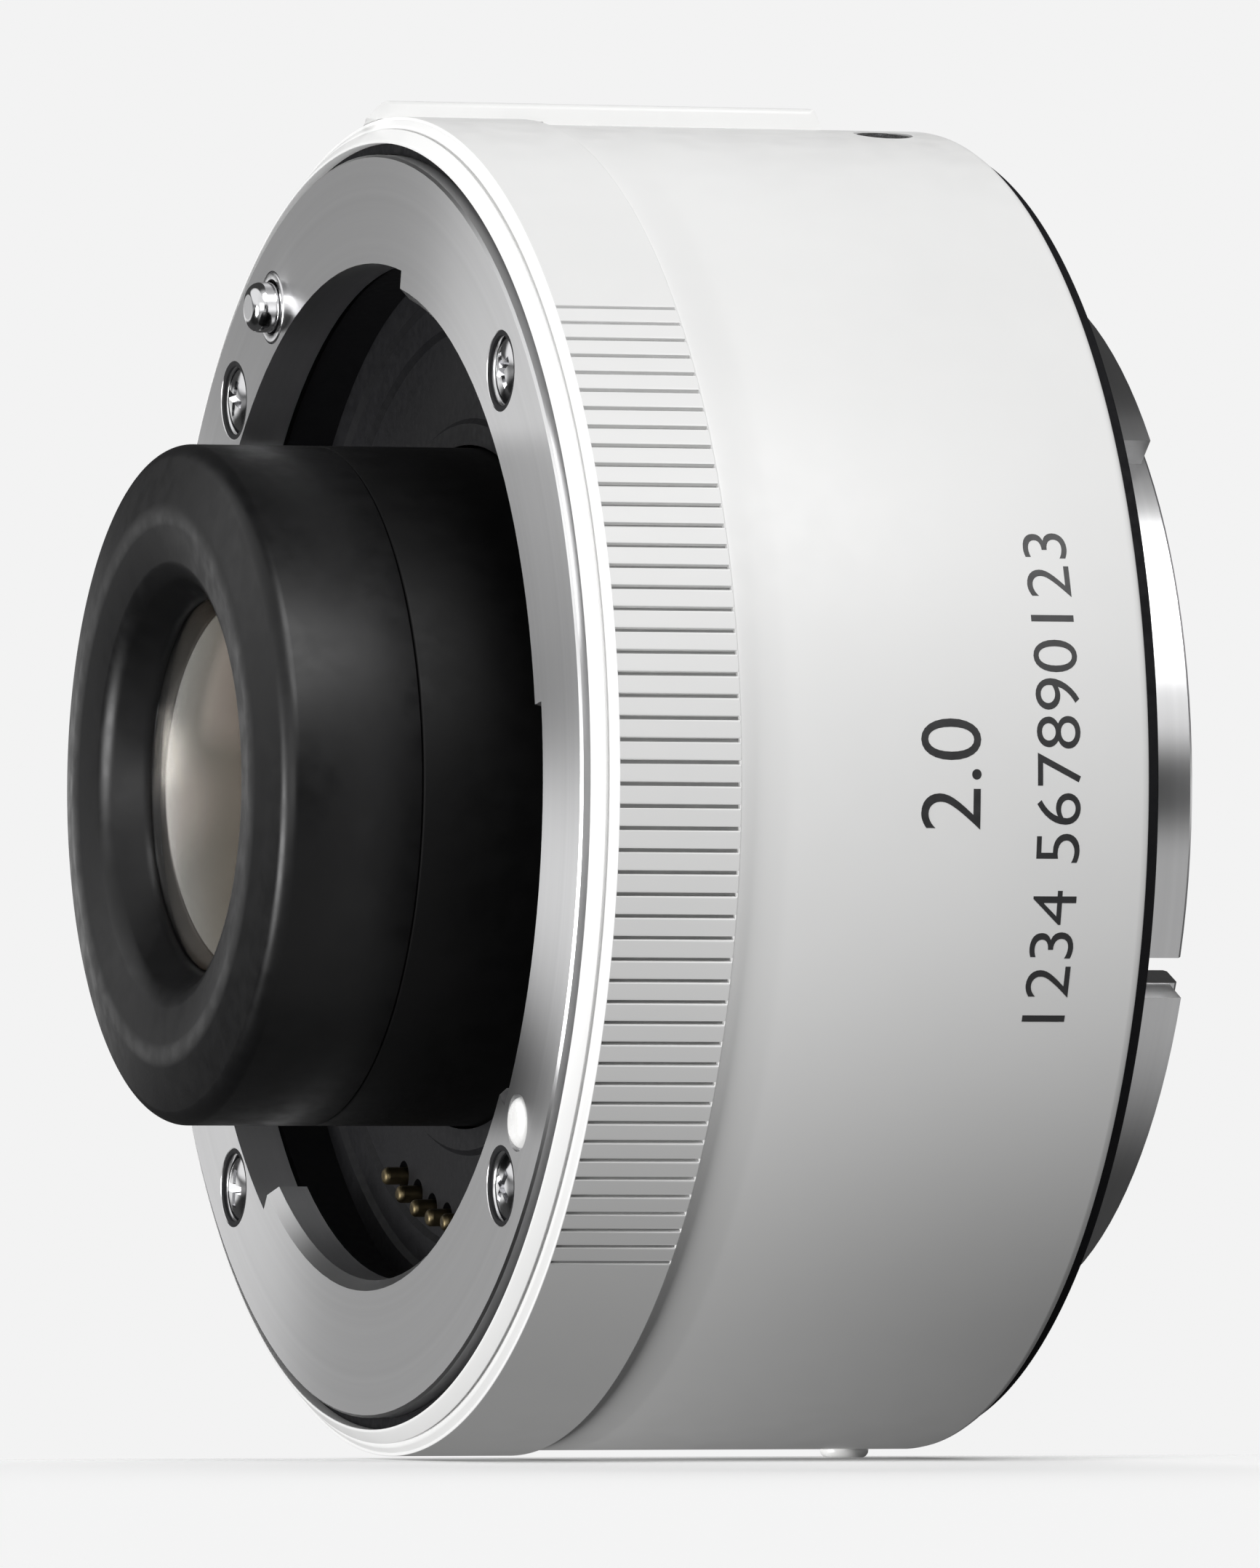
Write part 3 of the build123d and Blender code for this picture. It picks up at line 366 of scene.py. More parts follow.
# %% Satin chrome
def satin_chrome():
    colour = (0.74, 0.74, 0.745)
    material, tree, shader = new_finish("satin_chrome", colour, 0.28, metallic=1.0)
    shader.inputs["Anisotropic"].default_value = 0.95
    shader.inputs["Anisotropic Rotation"].default_value = 0.25
    around = add(tree, "ShaderNodeVectorMath", {"operation": "CROSS_PRODUCT"})
    around.inputs[0].default_value = (1, 0, 0)
    tree.links.new(object_place(tree), around.inputs[1])
    tree.links.new(around.outputs["Vector"], shader.inputs["Tangent"])
    rings = ring_place(tree)
    vary_colour(tree, shader, noise(tree, rings, 2600, 3), colour, 0.03)
    bump(tree, shader, noise(tree, rings, 14000, 2), 0.05, 1e-6)
    return material


# %% [markdown]
# Screws and small pins are bright steel, polished by barrelling, so their marks have no direction.


# %% Bright steel
def bright_steel(name, low, high):
    colour = (0.66, 0.66, 0.67)
    material, tree, shader = new_finish(name, colour, low, metallic=1.0)
    place = object_place(tree)
    vary_roughness(tree, shader, noise(tree, place, 2500, 3), low, high)
    bump(tree, shader, noise(tree, place, 7000, 2), 0.05, 2e-6)
    return material


# %% [markdown]
# The optical nose is black anodised aluminium. The cap in front has a satin surface, and the tube behind
# it is duller and deeper black. Anodising over a blasted surface leaves a fine even grain.


# %% Black metal
def black_metal(name, level, low, high, shine):
    colour = (level, level, level * 1.07)
    material, tree, shader = new_finish(name, colour, low)
    shader.inputs["Specular IOR Level"].default_value = shine
    place = object_place(tree)
    vary_colour(tree, shader, noise(tree, place, 400, 3), colour, 0.08)
    vary_roughness(tree, shader, noise(tree, place, 900, 3), low, high)
    bump(tree, shader, noise(tree, place, 12000, 2), 0.12, 4e-6)
    return material


# %% [markdown]
# Plastic, rubber, cast metal, glass and the electrical finishes follow the same pattern with other values.
# The glass is clear with a thin coating, which tints what it mirrors. The face of the second lens has a
# finish of its own: brown, satin, and darker than bare metal where it is seen at a flat angle.


# %% Other finishes
def plain_finish(name, colour, low, high, grain, depth, metallic=0.0, shine=0.5):
    """A finish with a fine grain of its own size, in features per metre."""
    material, tree, shader = new_finish(name, colour, low, metallic)
    shader.inputs["Specular IOR Level"].default_value = shine
    place = object_place(tree)
    vary_colour(tree, shader, noise(tree, place, grain / 8, 3), colour, 0.06)
    vary_roughness(tree, shader, noise(tree, place, grain / 4, 3), low, high)
    bump(tree, shader, noise(tree, place, grain, 3), 0.2, depth)
    return material


def coated_glass():
    material, tree, shader = new_finish("optical_glass", (0.97, 0.98, 0.96), 0.0)
    shader.inputs["Transmission Weight"].default_value = 1.0
    shader.inputs["IOR"].default_value = 1.62
    shader.inputs["Thin Film Thickness"].default_value = 110.0
    shader.inputs["Thin Film IOR"].default_value = 1.38
    vary_roughness(tree, shader, noise(tree, object_place(tree), 300, 2), 0.0, 0.012)
    return material


FINISHES = {
    "white_paint": white_paint(),
    "satin_chrome": satin_chrome(),
    "steel": bright_steel("steel", 0.14, 0.28),
    "black_metal": black_metal("black_metal", 0.004, 0.32, 0.40, shine=0.26),
    "black_plastic": plain_finish("black_plastic", (0.005, 0.005, 0.006), 0.5, 0.6, 9000, 5e-6, shine=0.25),
    "frame_metal": plain_finish("frame_metal", (0.45, 0.45, 0.46), 0.4, 0.6, 4000, 2e-5, metallic=1.0),
    "rubber": plain_finish("rubber", (0.006, 0.006, 0.007), 0.6, 0.8, 8000, 8e-6, shine=0.12),
    "mark_white": plain_finish("mark_white", (0.9, 0.9, 0.89), 0.22, 0.3, 6000, 1e-6),
    "optical_glass": coated_glass(),
    # The contacts' gold is darkened to about a tenth, as painted shade for the deep throat they sit in.
    "contact_gold": plain_finish("contact_gold", (0.10, 0.08, 0.045), 0.35, 0.5, 9000, 2e-6, metallic=1.0),
    "board_green": plain_finish("board_green", (0.03, 0.16, 0.07), 0.3, 0.45, 3000, 4e-6),
    "chip_black": plain_finish("chip_black", (0.03, 0.03, 0.03), 0.4, 0.55, 9000, 6e-6),
    "cable_amber": plain_finish("cable_amber", (0.55, 0.27, 0.06), 0.25, 0.4, 3000, 3e-6),
}
TUBE_BLACK = black_metal("tube_black", 0.002, 0.46, 0.54, shine=0.15)
# Painted shade: a mid grey for the floors of the rib grooves, where shade falls.
GROOVE_PAINTED_SHADE = plain_finish("groove_painted_shade", (0.42, 0.42, 0.42), 0.5, 0.6, 9000, 1e-6, shine=0.2)
POLISHED = bright_steel("polished_steel", 0.08, 0.14)
INNER_LENS = plain_finish(
    "inner_lens", (0.075, 0.066, 0.060), 0.19, 0.22, 3000, 1e-8, metallic=0.9, shine=0.1
)
inner_shader = INNER_LENS.node_tree.nodes["Principled BSDF"]
inner_shader.inputs["Specular Tint"].default_value = (0.4, 0.36, 0.33, 1)
INK = plain_finish("ink", (0.012, 0.012, 0.013), 0.4, 0.5, 9000, 1e-6)

for node in nodes.values():
    for place in node.material_slots:
        place.material = FINISHES[place.material.name]
for name, finish in {
    "lens_lock_pin": POLISHED,
    "lens_3_doublet_rear": INNER_LENS,
}.items():
    nodes[name].material_slots[0].material = finish
print(len(FINISHES), "finishes on", len(nodes), "nodes")

# %% [markdown]
# Nearly every piece here was made on a lathe, so the main helper is one too. It takes the corners of a
# section, rounds each by its own amount, and spins the section about the optical axis. A rounded edge
# as small as a twentieth of a millimetre is what catches the light on a real part.

# %% Lathe
ROUND_STEPS = 4
LARGE_ROUNDING = 0.5 * MM
TURN_STEPS = 256
SMALL_TURN_STEPS = 64
SAME_PLACE = 1e-7


def section(corners):
    """A closed section: x is along the axis and y from it. Each corner is (x, y, rounding), in metres."""
    shape = bmesh.new()
    points = [shape.verts.new((x, r, 0)) for x, r, rounding in corners]
    shape.faces.new(points)
    for size in sorted({rounding for x, r, rounding in corners if rounding}):
        picked = [
            vert
            for vert in shape.verts
            for x, r, rounding in corners
            if rounding == size and (vert.co - Vector((x, r, 0))).length < 1e-9
        ]
        bmesh.ops.bevel(
            shape,
            geom=picked,
            offset=size,
            offset_type="OFFSET",
            segments=ROUND_STEPS if size < LARGE_ROUNDING else 3 * ROUND_STEPS,
            profile=0.5,
            affect="VERTICES",
            material=-1,
        )
    return shape


def lathe(corners, steps=TURN_STEPS):
    """A section turned all the way round the X axis. Where it meets the axis, it is closed there."""
    shape = section(corners)
    bmesh.ops.delete(shape, geom=shape.faces[:], context="FACES_ONLY")
    on_axis = [edge for edge in shape.edges if all(vert.co.y < 1e-9 for vert in edge.verts)]
    bmesh.ops.delete(shape, geom=on_axis, context="EDGES")
    bmesh.ops.spin(
        shape,
        geom=shape.verts[:] + shape.edges[:],
        cent=(0, 0, 0),
        axis=(1, 0, 0),
        angle=math.tau,
        steps=steps,
        use_merge=True,
    )
    bmesh.ops.remove_doubles(shape, verts=shape.verts, dist=SAME_PLACE)
    bmesh.ops.recalc_face_normals(shape, faces=shape.faces)
    return shape


def lathe_off_axis(corners, y, z):
    """A small turned piece whose own axis is parallel to the optical axis."""
    shape = lathe(corners, SMALL_TURN_STEPS)
    bmesh.ops.translate(shape, verts=shape.verts, vec=(0, y, z))
    return shape


def arc_block(corners, start, stop, steps):
    """A section turned through part of a circle, from one angle to another, with closed ends."""
    shape = section(corners)
    bmesh.ops.transform(shape, matrix=around_axis(start), verts=shape.verts)
    turn = math.radians(stop - start)
    bmesh.ops.spin(shape, geom=shape.faces[:], cent=(0, 0, 0), axis=(1, 0, 0), angle=turn, steps=steps)
    bmesh.ops.remove_doubles(shape, verts=shape.verts, dist=SAME_PLACE)
    bmesh.ops.recalc_face_normals(shape, faces=shape.faces)
    return shape


def around_axis(angle):
    """The turn about the optical axis that takes +Y to an angle in degrees, 90 at the top."""
    return Matrix.Rotation(math.radians(angle), 4, "X")


def place_piece(name, shape, finish, body, stands_for=(), sharp=38, second=None):
    """Makes a finished piece of a shape, and ties it to the frame."""
    mesh = bpy.data.meshes.new(name)
    shape.to_mesh(mesh)
    shape.free()
    mesh.shade_smooth()
    mesh.set_sharp_from_angle(angle=math.radians(sharp))
    mesh.materials.append(finish)
    if second:
        mesh.materials.append(second)
    piece = bpy.data.objects.new(name, mesh)
    bpy.context.scene.collection.objects.link(piece)
    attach(piece, body)
    if stands_for:
        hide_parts(*stands_for)
    print(name, len(mesh.polygons), "faces")
    return piece


# %% [markdown]
# The bezel is the smooth white ring in front of the ribs. A narrow groove splits it, and shows as a
# thin grey line between two white ones. Between the bezel and the mount plate there is a gap with a black
# ring deep inside it, which paints the shade in the gap.


# %% Front bezel
BEZEL_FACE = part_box("front_bezel")[0].x - 0.05 * MM
GAP_RADIUS = 30.2 * MM
GAP_DEPTH = 0.7 * MM


def bezel():
    low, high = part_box("front_bezel")
    bore = 29.75 * MM
    edge = high.z - 0.4 * MM
    groove = low.x + 0.5 * MM
    groove_floor = edge - 0.22 * MM
    lip = groove + 0.15 * MM
    return lathe([
        (BEZEL_FACE, GAP_RADIUS, 0.04 * MM),
        (BEZEL_FACE, GAP_RADIUS + 0.12 * MM, 0.08 * MM),
        (groove, edge, 0.08 * MM),
        (groove, groove_floor, 0.03 * MM),
        (lip, groove_floor, 0.03 * MM),
        (lip, edge + 0.15 * MM, 0.06 * MM),
        (high.x, high.z, 0),
        (high.x, bore, 0),
        (BEZEL_FACE + GAP_DEPTH, bore, 0),
        (BEZEL_FACE + GAP_DEPTH, GAP_RADIUS, 0),
    ])


# A black ring deep in the gap between bezel and plate, as painted shade.
def gap_shade_ring():
    rear = BEZEL_FACE + GAP_DEPTH
    front = rear - 0.15 * MM
    bore = 29.68 * MM
    radius = GAP_RADIUS - 0.02 * MM
    return lathe([(front, bore, 0), (front, radius, 0), (rear, radius, 0), (rear, bore, 0)])


place_piece("plate_gap_ring", gap_shade_ring(), FINISHES["rubber"], "converter")
place_piece("bezel_ring", bezel(), FINISHES["white_paint"], "converter", ["front_bezel"])

# %% [markdown]
# The ribbed ring has 49 fine grooves on each side, and none at the top and bottom. The ring is spun in
# four stretches, with ten steps to each groove's pitch. The two faces in the middle of each pitch are
# then sunk, less deep near the ends of a row, and the rim of each groove gets a small bevel. The bottom
# of each groove gets a darker grey, as painted shade. After so many steps the last points lie a hair from
# the first ones, so they are merged over a wider gap than in the lathe.

# %% Ribbed ring
GROOVES = 49
GROOVE_PITCH = 1.848
STEPS_EACH = 10
PLAIN_STEPS = 100
GROOVE_DEPTH = 0.28 * MM
GROOVE_FADE = 5
GROOVE_SLOPE = 0.015 * MM
GROOVE_RIM = 0.025 * MM
CLOSING_GAP = 2e-6
ROW_CENTRES = (0.9, 180.9)


def ribbed_ring():
    low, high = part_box("grip_ring")
    radius = high.z
    bore = 29.7 * MM
    groove_start = low.x + 0.06 * MM
    groove_end = high.x - 0.08 * MM
    shape = section([
        (low.x, bore, 0),
        (low.x, radius, 0.04 * MM),
        (groove_start, radius, 0),
        (groove_end, radius, 0),
        (high.x, radius, 0.07 * MM),
        (high.x, bore, 0),
    ])
    bmesh.ops.delete(shape, geom=shape.faces[:], context="FACES_ONLY")
    row = GROOVES * GROOVE_PITCH
    start = ROW_CENTRES[0] - row / 2
    bmesh.ops.transform(shape, matrix=around_axis(start), verts=shape.verts)
    last = shape.verts[:] + shape.edges[:]
    plain = 180 - row
    for arc, steps in ((row, GROOVES * STEPS_EACH), (plain, PLAIN_STEPS)) * 2:
        last = bmesh.ops.spin(
            shape, geom=last, cent=(0, 0, 0), axis=(1, 0, 0), angle=math.radians(arc), steps=steps
        )["geom_last"]
    bmesh.ops.remove_doubles(shape, verts=shape.verts, dist=CLOSING_GAP)
    bmesh.ops.recalc_face_normals(shape, faces=shape.faces)
    sink_grooves(shape, radius, groove_start, groove_end)
    return shape


def sink_grooves(shape, radius, groove_start, groove_end):
    """Picks the faces of each groove by where they are, sinks them and rounds their rims."""
    depths = {}
    for face in shape.faces:
        middle = face.calc_center_median()
        if not groove_start < middle.x < groove_end:
            continue
        if math.hypot(middle.y, middle.z) < radius - 0.01 * MM:
            continue
        angle = math.degrees(math.atan2(middle.z, middle.y))
        for centre in ROW_CENTRES:
            pitches = ((angle - centre + 180) % 360 - 180) / GROOVE_PITCH
            number = round(pitches)
            if abs(number) > GROOVES // 2 or abs(pitches - number) > 1 / STEPS_EACH:
                continue
            from_end = GROOVES // 2 - abs(number) + 1
            depth = GROOVE_DEPTH * min(1, from_end / GROOVE_FADE)
            depths.setdefault(depth, []).append(face)
    rims = set()
    for depth, faces in depths.items():
        walls = bmesh.ops.inset_region(
            shape, faces=faces, thickness=GROOVE_SLOPE, depth=-depth, use_boundary=True, use_even_offset=True
        )["faces"]
        # The groove floors take the second material, a grey that paints the shade in the grooves.
        for face in faces:
            face.material_index = 1
        for wall in walls:
            for edge in wall.edges:
                if all(math.hypot(v.co.y, v.co.z) > radius - 0.004 * MM for v in edge.verts):
                    rims.add(edge)
    bmesh.ops.bevel(
        shape,
        geom=list(rims),
        offset=GROOVE_RIM,
        offset_type="OFFSET",
        segments=2,
        profile=0.5,
        affect="EDGES",
        material=-1,
    )


place_piece(
    "ribbed_ring",
    ribbed_ring(),
    FINISHES["white_paint"],
    "converter",
    ["grip_ring"],
    second=GROOVE_PAINTED_SHADE,
)

# %% [markdown]
# The optical nose is a cap screwed on a tube. The cap has a round edge, a shallow cone as its face and a
# rolled lip round the opening. The tube's edge at the seam is rounded, and catches a thin line of light.

# %% Optical nose
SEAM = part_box("nose_cap")[1].x
TIP = -38.15 * MM
NOSE_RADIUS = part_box("nose_cap")[1].z
LENS_BORE = 8.8 * MM


def cap():
    seat = -35.2 * MM
    seat_end = -34.65 * MM
    seat_radius = 9.35 * MM
    thread_radius = 12.05 * MM
    return lathe([
        (SEAM, thread_radius, 0),
        (SEAM, NOSE_RADIUS, 0.04 * MM),
        (TIP + 0.70 * MM, NOSE_RADIUS, 0.7 * MM),
        (TIP, 12.7 * MM, 0.6 * MM),
        (TIP + 0.50 * MM, 9.9 * MM, 0.6 * MM),
        (TIP + 2.35 * MM, LENS_BORE, 0.3 * MM),
        (seat, LENS_BORE, 0),
        (seat, seat_radius, 0),
        (seat_end, seat_radius, 0),
        (seat_end, thread_radius, 0),
    ])


def tube():
    front = -34.6 * MM
    seam = SEAM + 0.05 * MM
    stop_front = -28.3 * MM
    stop_rear = -26.7 * MM
    flange_front = -19.0 * MM
    flange_rear = -17.8 * MM
    rear = -16.2 * MM
    front_bore = 9.05 * MM
    stop_bore = 8.5 * MM
    rear_bore = 9.55 * MM
    rim_bore = 12.0 * MM
    rim_radius = 14.0 * MM
    thread_radius = 12.0 * MM
    flange_radius = 20.0 * MM
    return lathe([
        (front, front_bore, 0),
        (front, thread_radius, 0),
        (seam, thread_radius, 0),
        (seam, NOSE_RADIUS, 0.12 * MM),
        (flange_front, NOSE_RADIUS, 0),
        (flange_front, flange_radius, 0),
        (flange_rear, flange_radius, 0),
        (flange_rear, rim_radius, 0),
        (rear, rim_radius, 0),
        (rear, rim_bore, 0),
        (flange_rear, rim_bore, 0),
        (flange_rear, rear_bore, 0),
        (stop_rear, rear_bore, 0),
        (stop_rear, stop_bore, 0),
        (stop_front, stop_bore, 0),
        (stop_front, front_bore, 0),
    ])


place_piece("nose_front_cap", cap(), FINISHES["black_metal"], "converter", ["nose_cap"])
place_piece("nose_rear_tube", tube(), TUBE_BLACK, "converter", ["nose_tube"])

# %% [markdown]
# The front lens bulges towards the lens side, and is a thin shell here. The element behind it has a deep
# hollow face with a brown coating, which takes the side light at its far rim. That is the pale crescent
# that shows through the glass.

# %% Front lenses
LENS_STEPS = 20
FRONT_LENS_VERTEX = TIP + 1.05 * MM
FRONT_LENS_BACK = TIP + 1.40 * MM
FRONT_LENS_CURVE = 26 * MM
SECOND_LENS_VERTEX = -32.42 * MM
SECOND_LENS_CURVE = -15 * MM


def lens_face(vertex, radius, reach):
    """Points of a round lens face, from the axis outwards."""
    rise = math.asin(reach / abs(radius))
    turns = [rise * number / LENS_STEPS for number in range(LENS_STEPS + 1)]
    return [(vertex + radius * (1 - math.cos(turn)), abs(radius) * math.sin(turn), 0) for turn in turns]


def front_lens():
    reach = 8.72 * MM
    front = lens_face(FRONT_LENS_VERTEX, FRONT_LENS_CURVE, reach)
    rear = lens_face(FRONT_LENS_BACK, FRONT_LENS_CURVE, reach)
    return lathe(front + rear[::-1])


def second_lens():
    reach = 8.7 * MM
    rear = -31.4 * MM
    face = lens_face(SECOND_LENS_VERTEX, SECOND_LENS_CURVE, reach)
    return lathe(face + [(rear, reach, 0), (rear, 0, 0)])


place_piece(
    "front_lens", front_lens(), FINISHES["optical_glass"], "converter", ["lens_1_front"]
)
place_piece(
    "second_lens", second_lens(), INNER_LENS, "converter", ["lens_2_doublet_front"]
)

# %% [markdown]
# A cross-head screw is a small lathe job with a cross milled into it. The cross is cut by a Boolean, from
# a plus-shaped punch that tapers to its tip: a cube with its four sides pulled out and its end drawn in.
# No two screws stop at the same angle, so each one is turned by its own amount.


# %% Cross-head screws
HEAD_RADIUS = 1.68 * MM
HEAD_DEPTH = 0.83 * MM
SHANK_RADIUS = 0.95 * MM
CROSS_LENGTH = 1.9 * MM
CROSS_WIDTH = 0.42 * MM
CROSS_DEPTH = 0.62 * MM
SCREW_ANGLES = (45, 135, 225, 315)
SCREW_SHARP = 30


def cross_punch(length, width, depth):
    """A tapered cross that points along +X, with its open end a little in front of the origin."""
    punch = bmesh.new()
    bmesh.ops.create_cube(punch, size=1.0)
    bmesh.ops.scale(punch, vec=(1.2 * depth, width, width), verts=punch.verts)
    bmesh.ops.translate(punch, vec=(0.4 * depth, 0, 0), verts=punch.verts)
    sides = [face for face in punch.faces if abs(face.normal.x) < 0.5]
    directions = [face.normal.copy() for face in sides]
    wings = bmesh.ops.extrude_discrete_faces(punch, faces=sides)["faces"]
    for wing, direction in zip(wings, directions):
        bmesh.ops.translate(punch, vec=direction * (length - width) / 2, verts=wing.verts)
    tip = [vert for vert in punch.verts if vert.co.x > 0.5 * depth]
    bmesh.ops.scale(punch, vec=(1, 0.6, 0.6), verts=tip)
    bmesh.ops.recalc_face_normals(punch, faces=punch.faces)
    return punch


def as_object(name, shape):
    mesh = bpy.data.meshes.new(name)
    shape.to_mesh(mesh)
    shape.free()
    thing = bpy.data.objects.new(name, mesh)
    bpy.context.scene.collection.objects.link(thing)
    return thing


def cut(shape, cutter):
    """One shape less another, both as bmesh."""
    body = as_object("body_to_cut", shape)
    tool = as_object("cutting_tool", cutter)
    boolean = body.modifiers.new("cut", "BOOLEAN")
    boolean.operation = "DIFFERENCE"
    boolean.solver = "EXACT"
    boolean.object = tool
    graph = bpy.context.evaluated_depsgraph_get()
    result = bmesh.new()
    result.from_object(body, graph)
    for thing in (body, tool):
        mesh = thing.data
        bpy.data.objects.remove(thing)
        bpy.data.meshes.remove(mesh)
    return result


def screw_shape(length):
    """A countersunk screw along +X. Its domed head stands a little in front of the origin."""
    dome = 0.08 * MM
    rim = 0.2 * MM
    tip = 0.08 * MM
    blank = lathe(
        [
            (-dome, 0, 0),
            (-dome, 0.6 * HEAD_RADIUS, 0.3 * HEAD_RADIUS),
            (rim, HEAD_RADIUS, 0),
            (HEAD_DEPTH, SHANK_RADIUS, 0),
            (length, SHANK_RADIUS, tip),
            (length, 0, 0),
        ],
        steps=SMALL_TURN_STEPS,
    )
    return cut(blank, cross_punch(CROSS_LENGTH, CROSS_WIDTH, CROSS_DEPTH))


def add_copy(group, shape, matrix):
    """Adds a moved copy of a shape to a group of shapes."""
    mesh = bpy.data.meshes.new("copy")
    shape.to_mesh(mesh)
    mesh.transform(matrix)
    group.from_mesh(mesh)
    bpy.data.meshes.remove(mesh)


def mount_screws(node, flip, turns):
    """The four screws of a mount as one shape, set out by their CAD node."""
    low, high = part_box(node)
    reach = high.y - HEAD_RADIUS
    radius = reach / math.cos(math.radians(SCREW_ANGLES[0]))
    x = high.x if flip else low.x
    facing = Matrix.Rotation(math.pi, 4, "Z") if flip else Matrix.Identity(4)
    shape = screw_shape(high.x - low.x)
    group = bmesh.new()
    for angle, turned in zip(SCREW_ANGLES, turns):
        y = radius * math.cos(math.radians(angle))
        z = radius * math.sin(math.radians(angle))
        twist = Matrix.Rotation(math.radians(turned), 4, "X")
        add_copy(group, shape, Matrix.Translation((x, y, z)) @ facing @ twist)
    shape.free()
    return group


front_screws = mount_screws("front_mount_screws", False, (20, 63, 41, 8))
place_piece(
    "front_screws", front_screws, POLISHED, "converter", ["front_mount_screws"], SCREW_SHARP
)
rear_screws = mount_screws("rear_mount_screws", True, (12, 50, 33, 71))
place_piece(
    "rear_screws",
    rear_screws,
    FINISHES["steel"],
    "converter",
    ["rear_mount_screws"],
    SCREW_SHARP,
)

# %% [markdown]
# Each front screw sits in a dark ring, which paints the shade round its head, the lock pin comes out of a
# bright bush, and the index mark is a domed white bead. All of them are small turned pieces beside the
# optical axis.

# %% Small pieces of the front mount


# Black rings round the front screw heads, as painted shade in their countersinks.
def screw_shade_rings():
    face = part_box("front_mount_screws")[0].x
    root = face + 0.05 * MM
    circle = 26.6 * MM
    bore = 1.64 * MM
    radius = 1.87 * MM
    group = bmesh.new()
    for angle in SCREW_ANGLES:
        y = circle * math.cos(math.radians(angle))
        z = circle * math.sin(math.radians(angle))
        ring = lathe_off_axis(
            [
                (face - 0.07 * MM, bore, 0),
                (face - 0.10 * MM, radius, 0.02 * MM),
                (root, radius, 0),
                (root, bore, 0),
            ],
            y,
            z,
        )
        add_copy(group, ring, Matrix.Identity(4))
        ring.free()
    return group


def pin_bush():
    low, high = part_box("lens_lock_pin")
    middle = (low + high) / 2
    face = -28.04 * MM
    root = face + 0.8 * MM
    bore = 1.32 * MM
    radius = 1.72 * MM
    return lathe_off_axis(
        [
            (face, bore, 0.04 * MM),
            (face, radius, 0.10 * MM),
            (root, radius, 0),
            (root, bore, 0),
        ],
        middle.y,
        middle.z,
    )


def index_bead():
    low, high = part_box("front_index_mark")
    middle = (low + high) / 2
    radius = 1.2 * MM
    return lathe_off_axis(
        [(low.x, 0, 0), (low.x, radius, 0.5 * MM), (high.x, radius, 0), (high.x, 0, 0)], middle.y, middle.z
    )


place_piece("screw_shade_rings", screw_shade_rings(), FINISHES["black_plastic"], "converter")
place_piece("lock_pin_bush", pin_bush(), FINISHES["steel"], "converter")
place_piece(
    "front_index_bead",
    index_bead(),
    FINISHES["mark_white"],
    "converter",
    ["front_index_mark"],
)

# %% [markdown]
# The slide is a long low block that follows the barrel's round. It is a section turned through 18 degrees,
# with its two long top edges rounded afterwards. Its front end is cut slantwise and stands back on the far
# side. The block clears the paint under it by a fiftieth of a millimetre.

# %% Release slide
SLIDE_START = 70
SLIDE_STOP = 88
SLIDE_ROUNDING = 0.3 * MM
SLANT = 0.30


def slide():
    low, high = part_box("release_slide")
    clearance = 0.02 * MM
    over_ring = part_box("grip_ring")[1].z + clearance
    over_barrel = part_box("main_barrel")[1].z + clearance
    top = 32.35 * MM
    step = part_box("main_barrel")[0].x + 2.1 * MM
    start = low.x - 0.35 * MM
    end = high.x - 0.7 * MM
    block = arc_block(
        [
            (start, over_ring, 0),
            (start + 0.9 * MM, top, SLIDE_ROUNDING),
            (end - 0.4 * MM, top, 0.2 * MM),
            (end, over_barrel, 0),
            (step, over_barrel, 0),
            (step, over_ring, 0),
        ],
        SLIDE_START,
        SLIDE_STOP,
        steps=24,
    )
    near = min(vert.co.y for vert in block.verts)
    for vert in block.verts:
        if vert.co.x < start + 2 * MM:
            vert.co.x += SLANT * (vert.co.y - near)
    rims = [
        edge
        for edge in block.edges
        if all(vert.co.yz.length > top - 0.02 * MM for vert in edge.verts)
        and len(edge.link_faces) == 2
        and edge.calc_face_angle() > 1
    ]
    bmesh.ops.bevel(
        block,
        geom=rims,
        offset=SLIDE_ROUNDING,
        offset_type="OFFSET",
        segments=4,
        profile=0.5,
        affect="EDGES",
        material=-1,
    )
    return block


place_piece("slide_block", slide(), FINISHES["white_paint"], "release", ["release_slide"])

# %% [markdown]
# The barrel is a plain turned tube with a rounded rear edge. Booleans cut the pockets of its two set screws
# and of the white bead, and two slots under the slide. The black seal behind it is turned too.

# %% Barrel and seal
SET_SCREW_X = -3.8 * MM
SET_SCREW_ANGLES = (99, 339)
BEAD_X = -3.93 * MM
BEAD_ANGLE = 270
SLOT_STARTS = (-18.3 * MM, -13.3 * MM)
SLOT_LENGTH = 4.9 * MM
SLOT_ANGLES = (74.7, 83.3)


def pocket(x, angle, radius, depth):
    """A round cutter that goes into the barrel by a depth."""
    shape = bmesh.new()
    bmesh.ops.create_cone(
        shape, cap_ends=True, segments=SMALL_TURN_STEPS, radius1=radius, radius2=radius, depth=2 * depth
    )
    place = around_axis(angle - 90) @ Matrix.Translation((x, 0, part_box("main_barrel")[1].z))
    bmesh.ops.transform(shape, matrix=place, verts=shape.verts)
    return shape


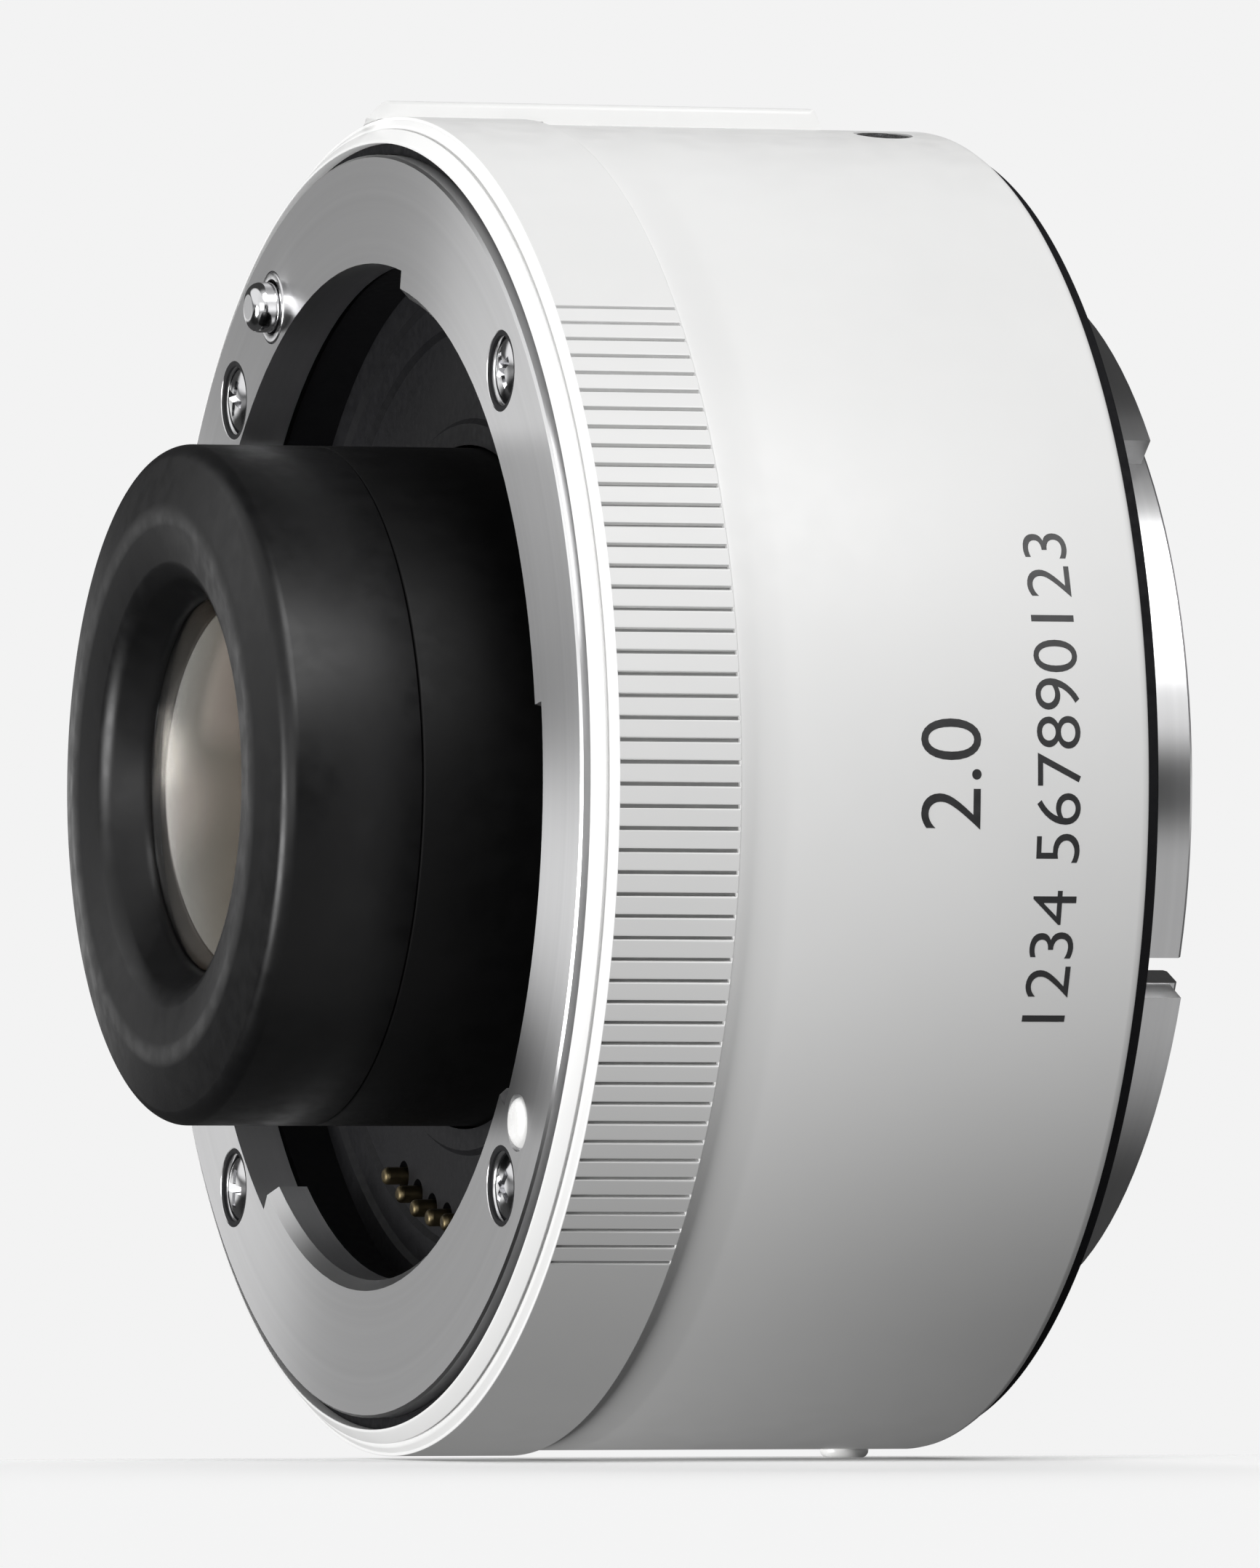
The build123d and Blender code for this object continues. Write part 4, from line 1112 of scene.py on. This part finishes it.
def barrel():
    low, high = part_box("main_barrel")
    bore = 29.7 * MM
    seat = high.x - 0.5 * MM
    shape = lathe([
        (low.x, bore, 0),
        (low.x, high.z, 0.05 * MM),
        (high.x, high.z, 0.45 * MM),
        (high.x, 30.65 * MM, 0),
        (seat, 30.65 * MM, 0),
        (seat, bore, 0),
    ])
    for angle in SET_SCREW_ANGLES:
        shape = cut(shape, pocket(SET_SCREW_X, angle, radius=1.4 * MM, depth=0.7 * MM))
        shape = cut(shape, pocket(SET_SCREW_X, angle, radius=0.85 * MM, depth=3.0 * MM))
    shape = cut(shape, pocket(BEAD_X, BEAD_ANGLE, radius=1.2 * MM, depth=0.8 * MM))
    inside = 29.0 * MM
    outside = 32.0 * MM
    for start in SLOT_STARTS:
        end = start + SLOT_LENGTH
        sides = [(start, inside, 0), (start, outside, 0), (end, outside, 0), (end, inside, 0)]
        shape = cut(shape, arc_block(sides, *SLOT_ANGLES, steps=12))
    return shape


def seal():
    low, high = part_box("rear_seal")
    bore = 29.65 * MM
    return lathe([
        (low.x, bore, 0),
        (low.x, high.z, 0),
        (high.x, high.z, 0.10 * MM),
        (high.x, bore, 0),
    ])


place_piece("barrel_tube", barrel(), FINISHES["white_paint"], "converter", ["main_barrel"])
place_piece("seal_ring", seal(), FINISHES["rubber"], "converter", ["rear_seal"])

# %% [markdown]
# The marks printed on the barrel are thin ink. A numeral starts as flat text, is cut across every quarter
# of a millimetre so that it can bend, gets the thickness of its ink, and is then wrapped round the barrel.
# It reads from the bottom up, with its top towards the lens. A plain row of numbers stands beside it.

# %% Printed marks
BARREL_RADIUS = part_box("main_barrel")[1].z
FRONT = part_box("front_mount_plate")[0].x
INK_HEIGHT = 0.012 * MM
INK_ROOT = 0.03 * MM
BEND_STEP = 0.25 * MM


def wrap_round_barrel(shape, x, angle):
    """Takes a flat shape, x up the barrel's side and y towards the lens, onto the barrel."""
    for vert in shape.verts:
        across, along, height = vert.co
        turned = math.radians(angle) - across / BARREL_RADIUS
        radius = BARREL_RADIUS + height
        vert.co = (x - along, radius * math.cos(turned), radius * math.sin(turned))


def printed(words, height, length, x, angle):
    """Text that fills a box of the given height and length, with its feet at a place along the axis."""
    curve = bpy.data.curves.new("numeral", "FONT")
    curve.body = words
    curve.size = height
    curve.offset = -0.006 * height
    curve.resolution_u = 6
    flat = bpy.data.objects.new("numeral", curve)
    bpy.context.scene.collection.objects.link(flat)
    mesh = bpy.data.meshes.new_from_object(flat)
    shape = bmesh.new()
    shape.from_mesh(mesh)
    bpy.data.objects.remove(flat)
    bpy.data.meshes.remove(mesh)
    bmesh.ops.remove_doubles(shape, verts=shape.verts, dist=SAME_PLACE)
    left = min(vert.co.x for vert in shape.verts)
    right = max(vert.co.x for vert in shape.verts)
    foot = min(vert.co.y for vert in shape.verts)
    head = max(vert.co.y for vert in shape.verts)
    bmesh.ops.translate(shape, vec=(-(left + right) / 2, -foot, 0), verts=shape.verts)
    bmesh.ops.scale(shape, vec=(length / (right - left), height / (head - foot), 1), verts=shape.verts)
    reach = round(length / BEND_STEP)
    for number in range(-reach, reach):
        bmesh.ops.bisect_plane(
            shape,
            geom=shape.verts[:] + shape.edges[:] + shape.faces[:],
            plane_co=(number * BEND_STEP, 0, 0),
            plane_no=(1, 0, 0),
        )
    give_ink_thickness(shape)
    wrap_round_barrel(shape, x, angle)
    return shape


def give_ink_thickness(shape):
    """Flat faces become a closed film from just under the paint to its own height."""
    bmesh.ops.translate(shape, vec=(0, 0, -INK_ROOT), verts=shape.verts)
    top = bmesh.ops.extrude_face_region(shape, geom=shape.faces[:], use_keep_orig=True)["geom"]
    raised = [item for item in top if isinstance(item, bmesh.types.BMVert)]
    bmesh.ops.translate(shape, vec=(0, 0, INK_ROOT + INK_HEIGHT), verts=raised)
    bmesh.ops.recalc_face_normals(shape, faces=shape.faces)


NUMERAL_X = FRONT + 19.0 * MM
ROW_X = FRONT + 23.9 * MM
numeral = printed("2.0", height=2.95 * MM, length=5.1 * MM, x=NUMERAL_X, angle=179.85)
number_row = printed("1234 567890123", height=2.15 * MM, length=23.0 * MM, x=ROW_X, angle=180)
place_piece("barrel_numeral", numeral, INK, "converter")
place_piece("barrel_numbers", number_row, INK, "converter")
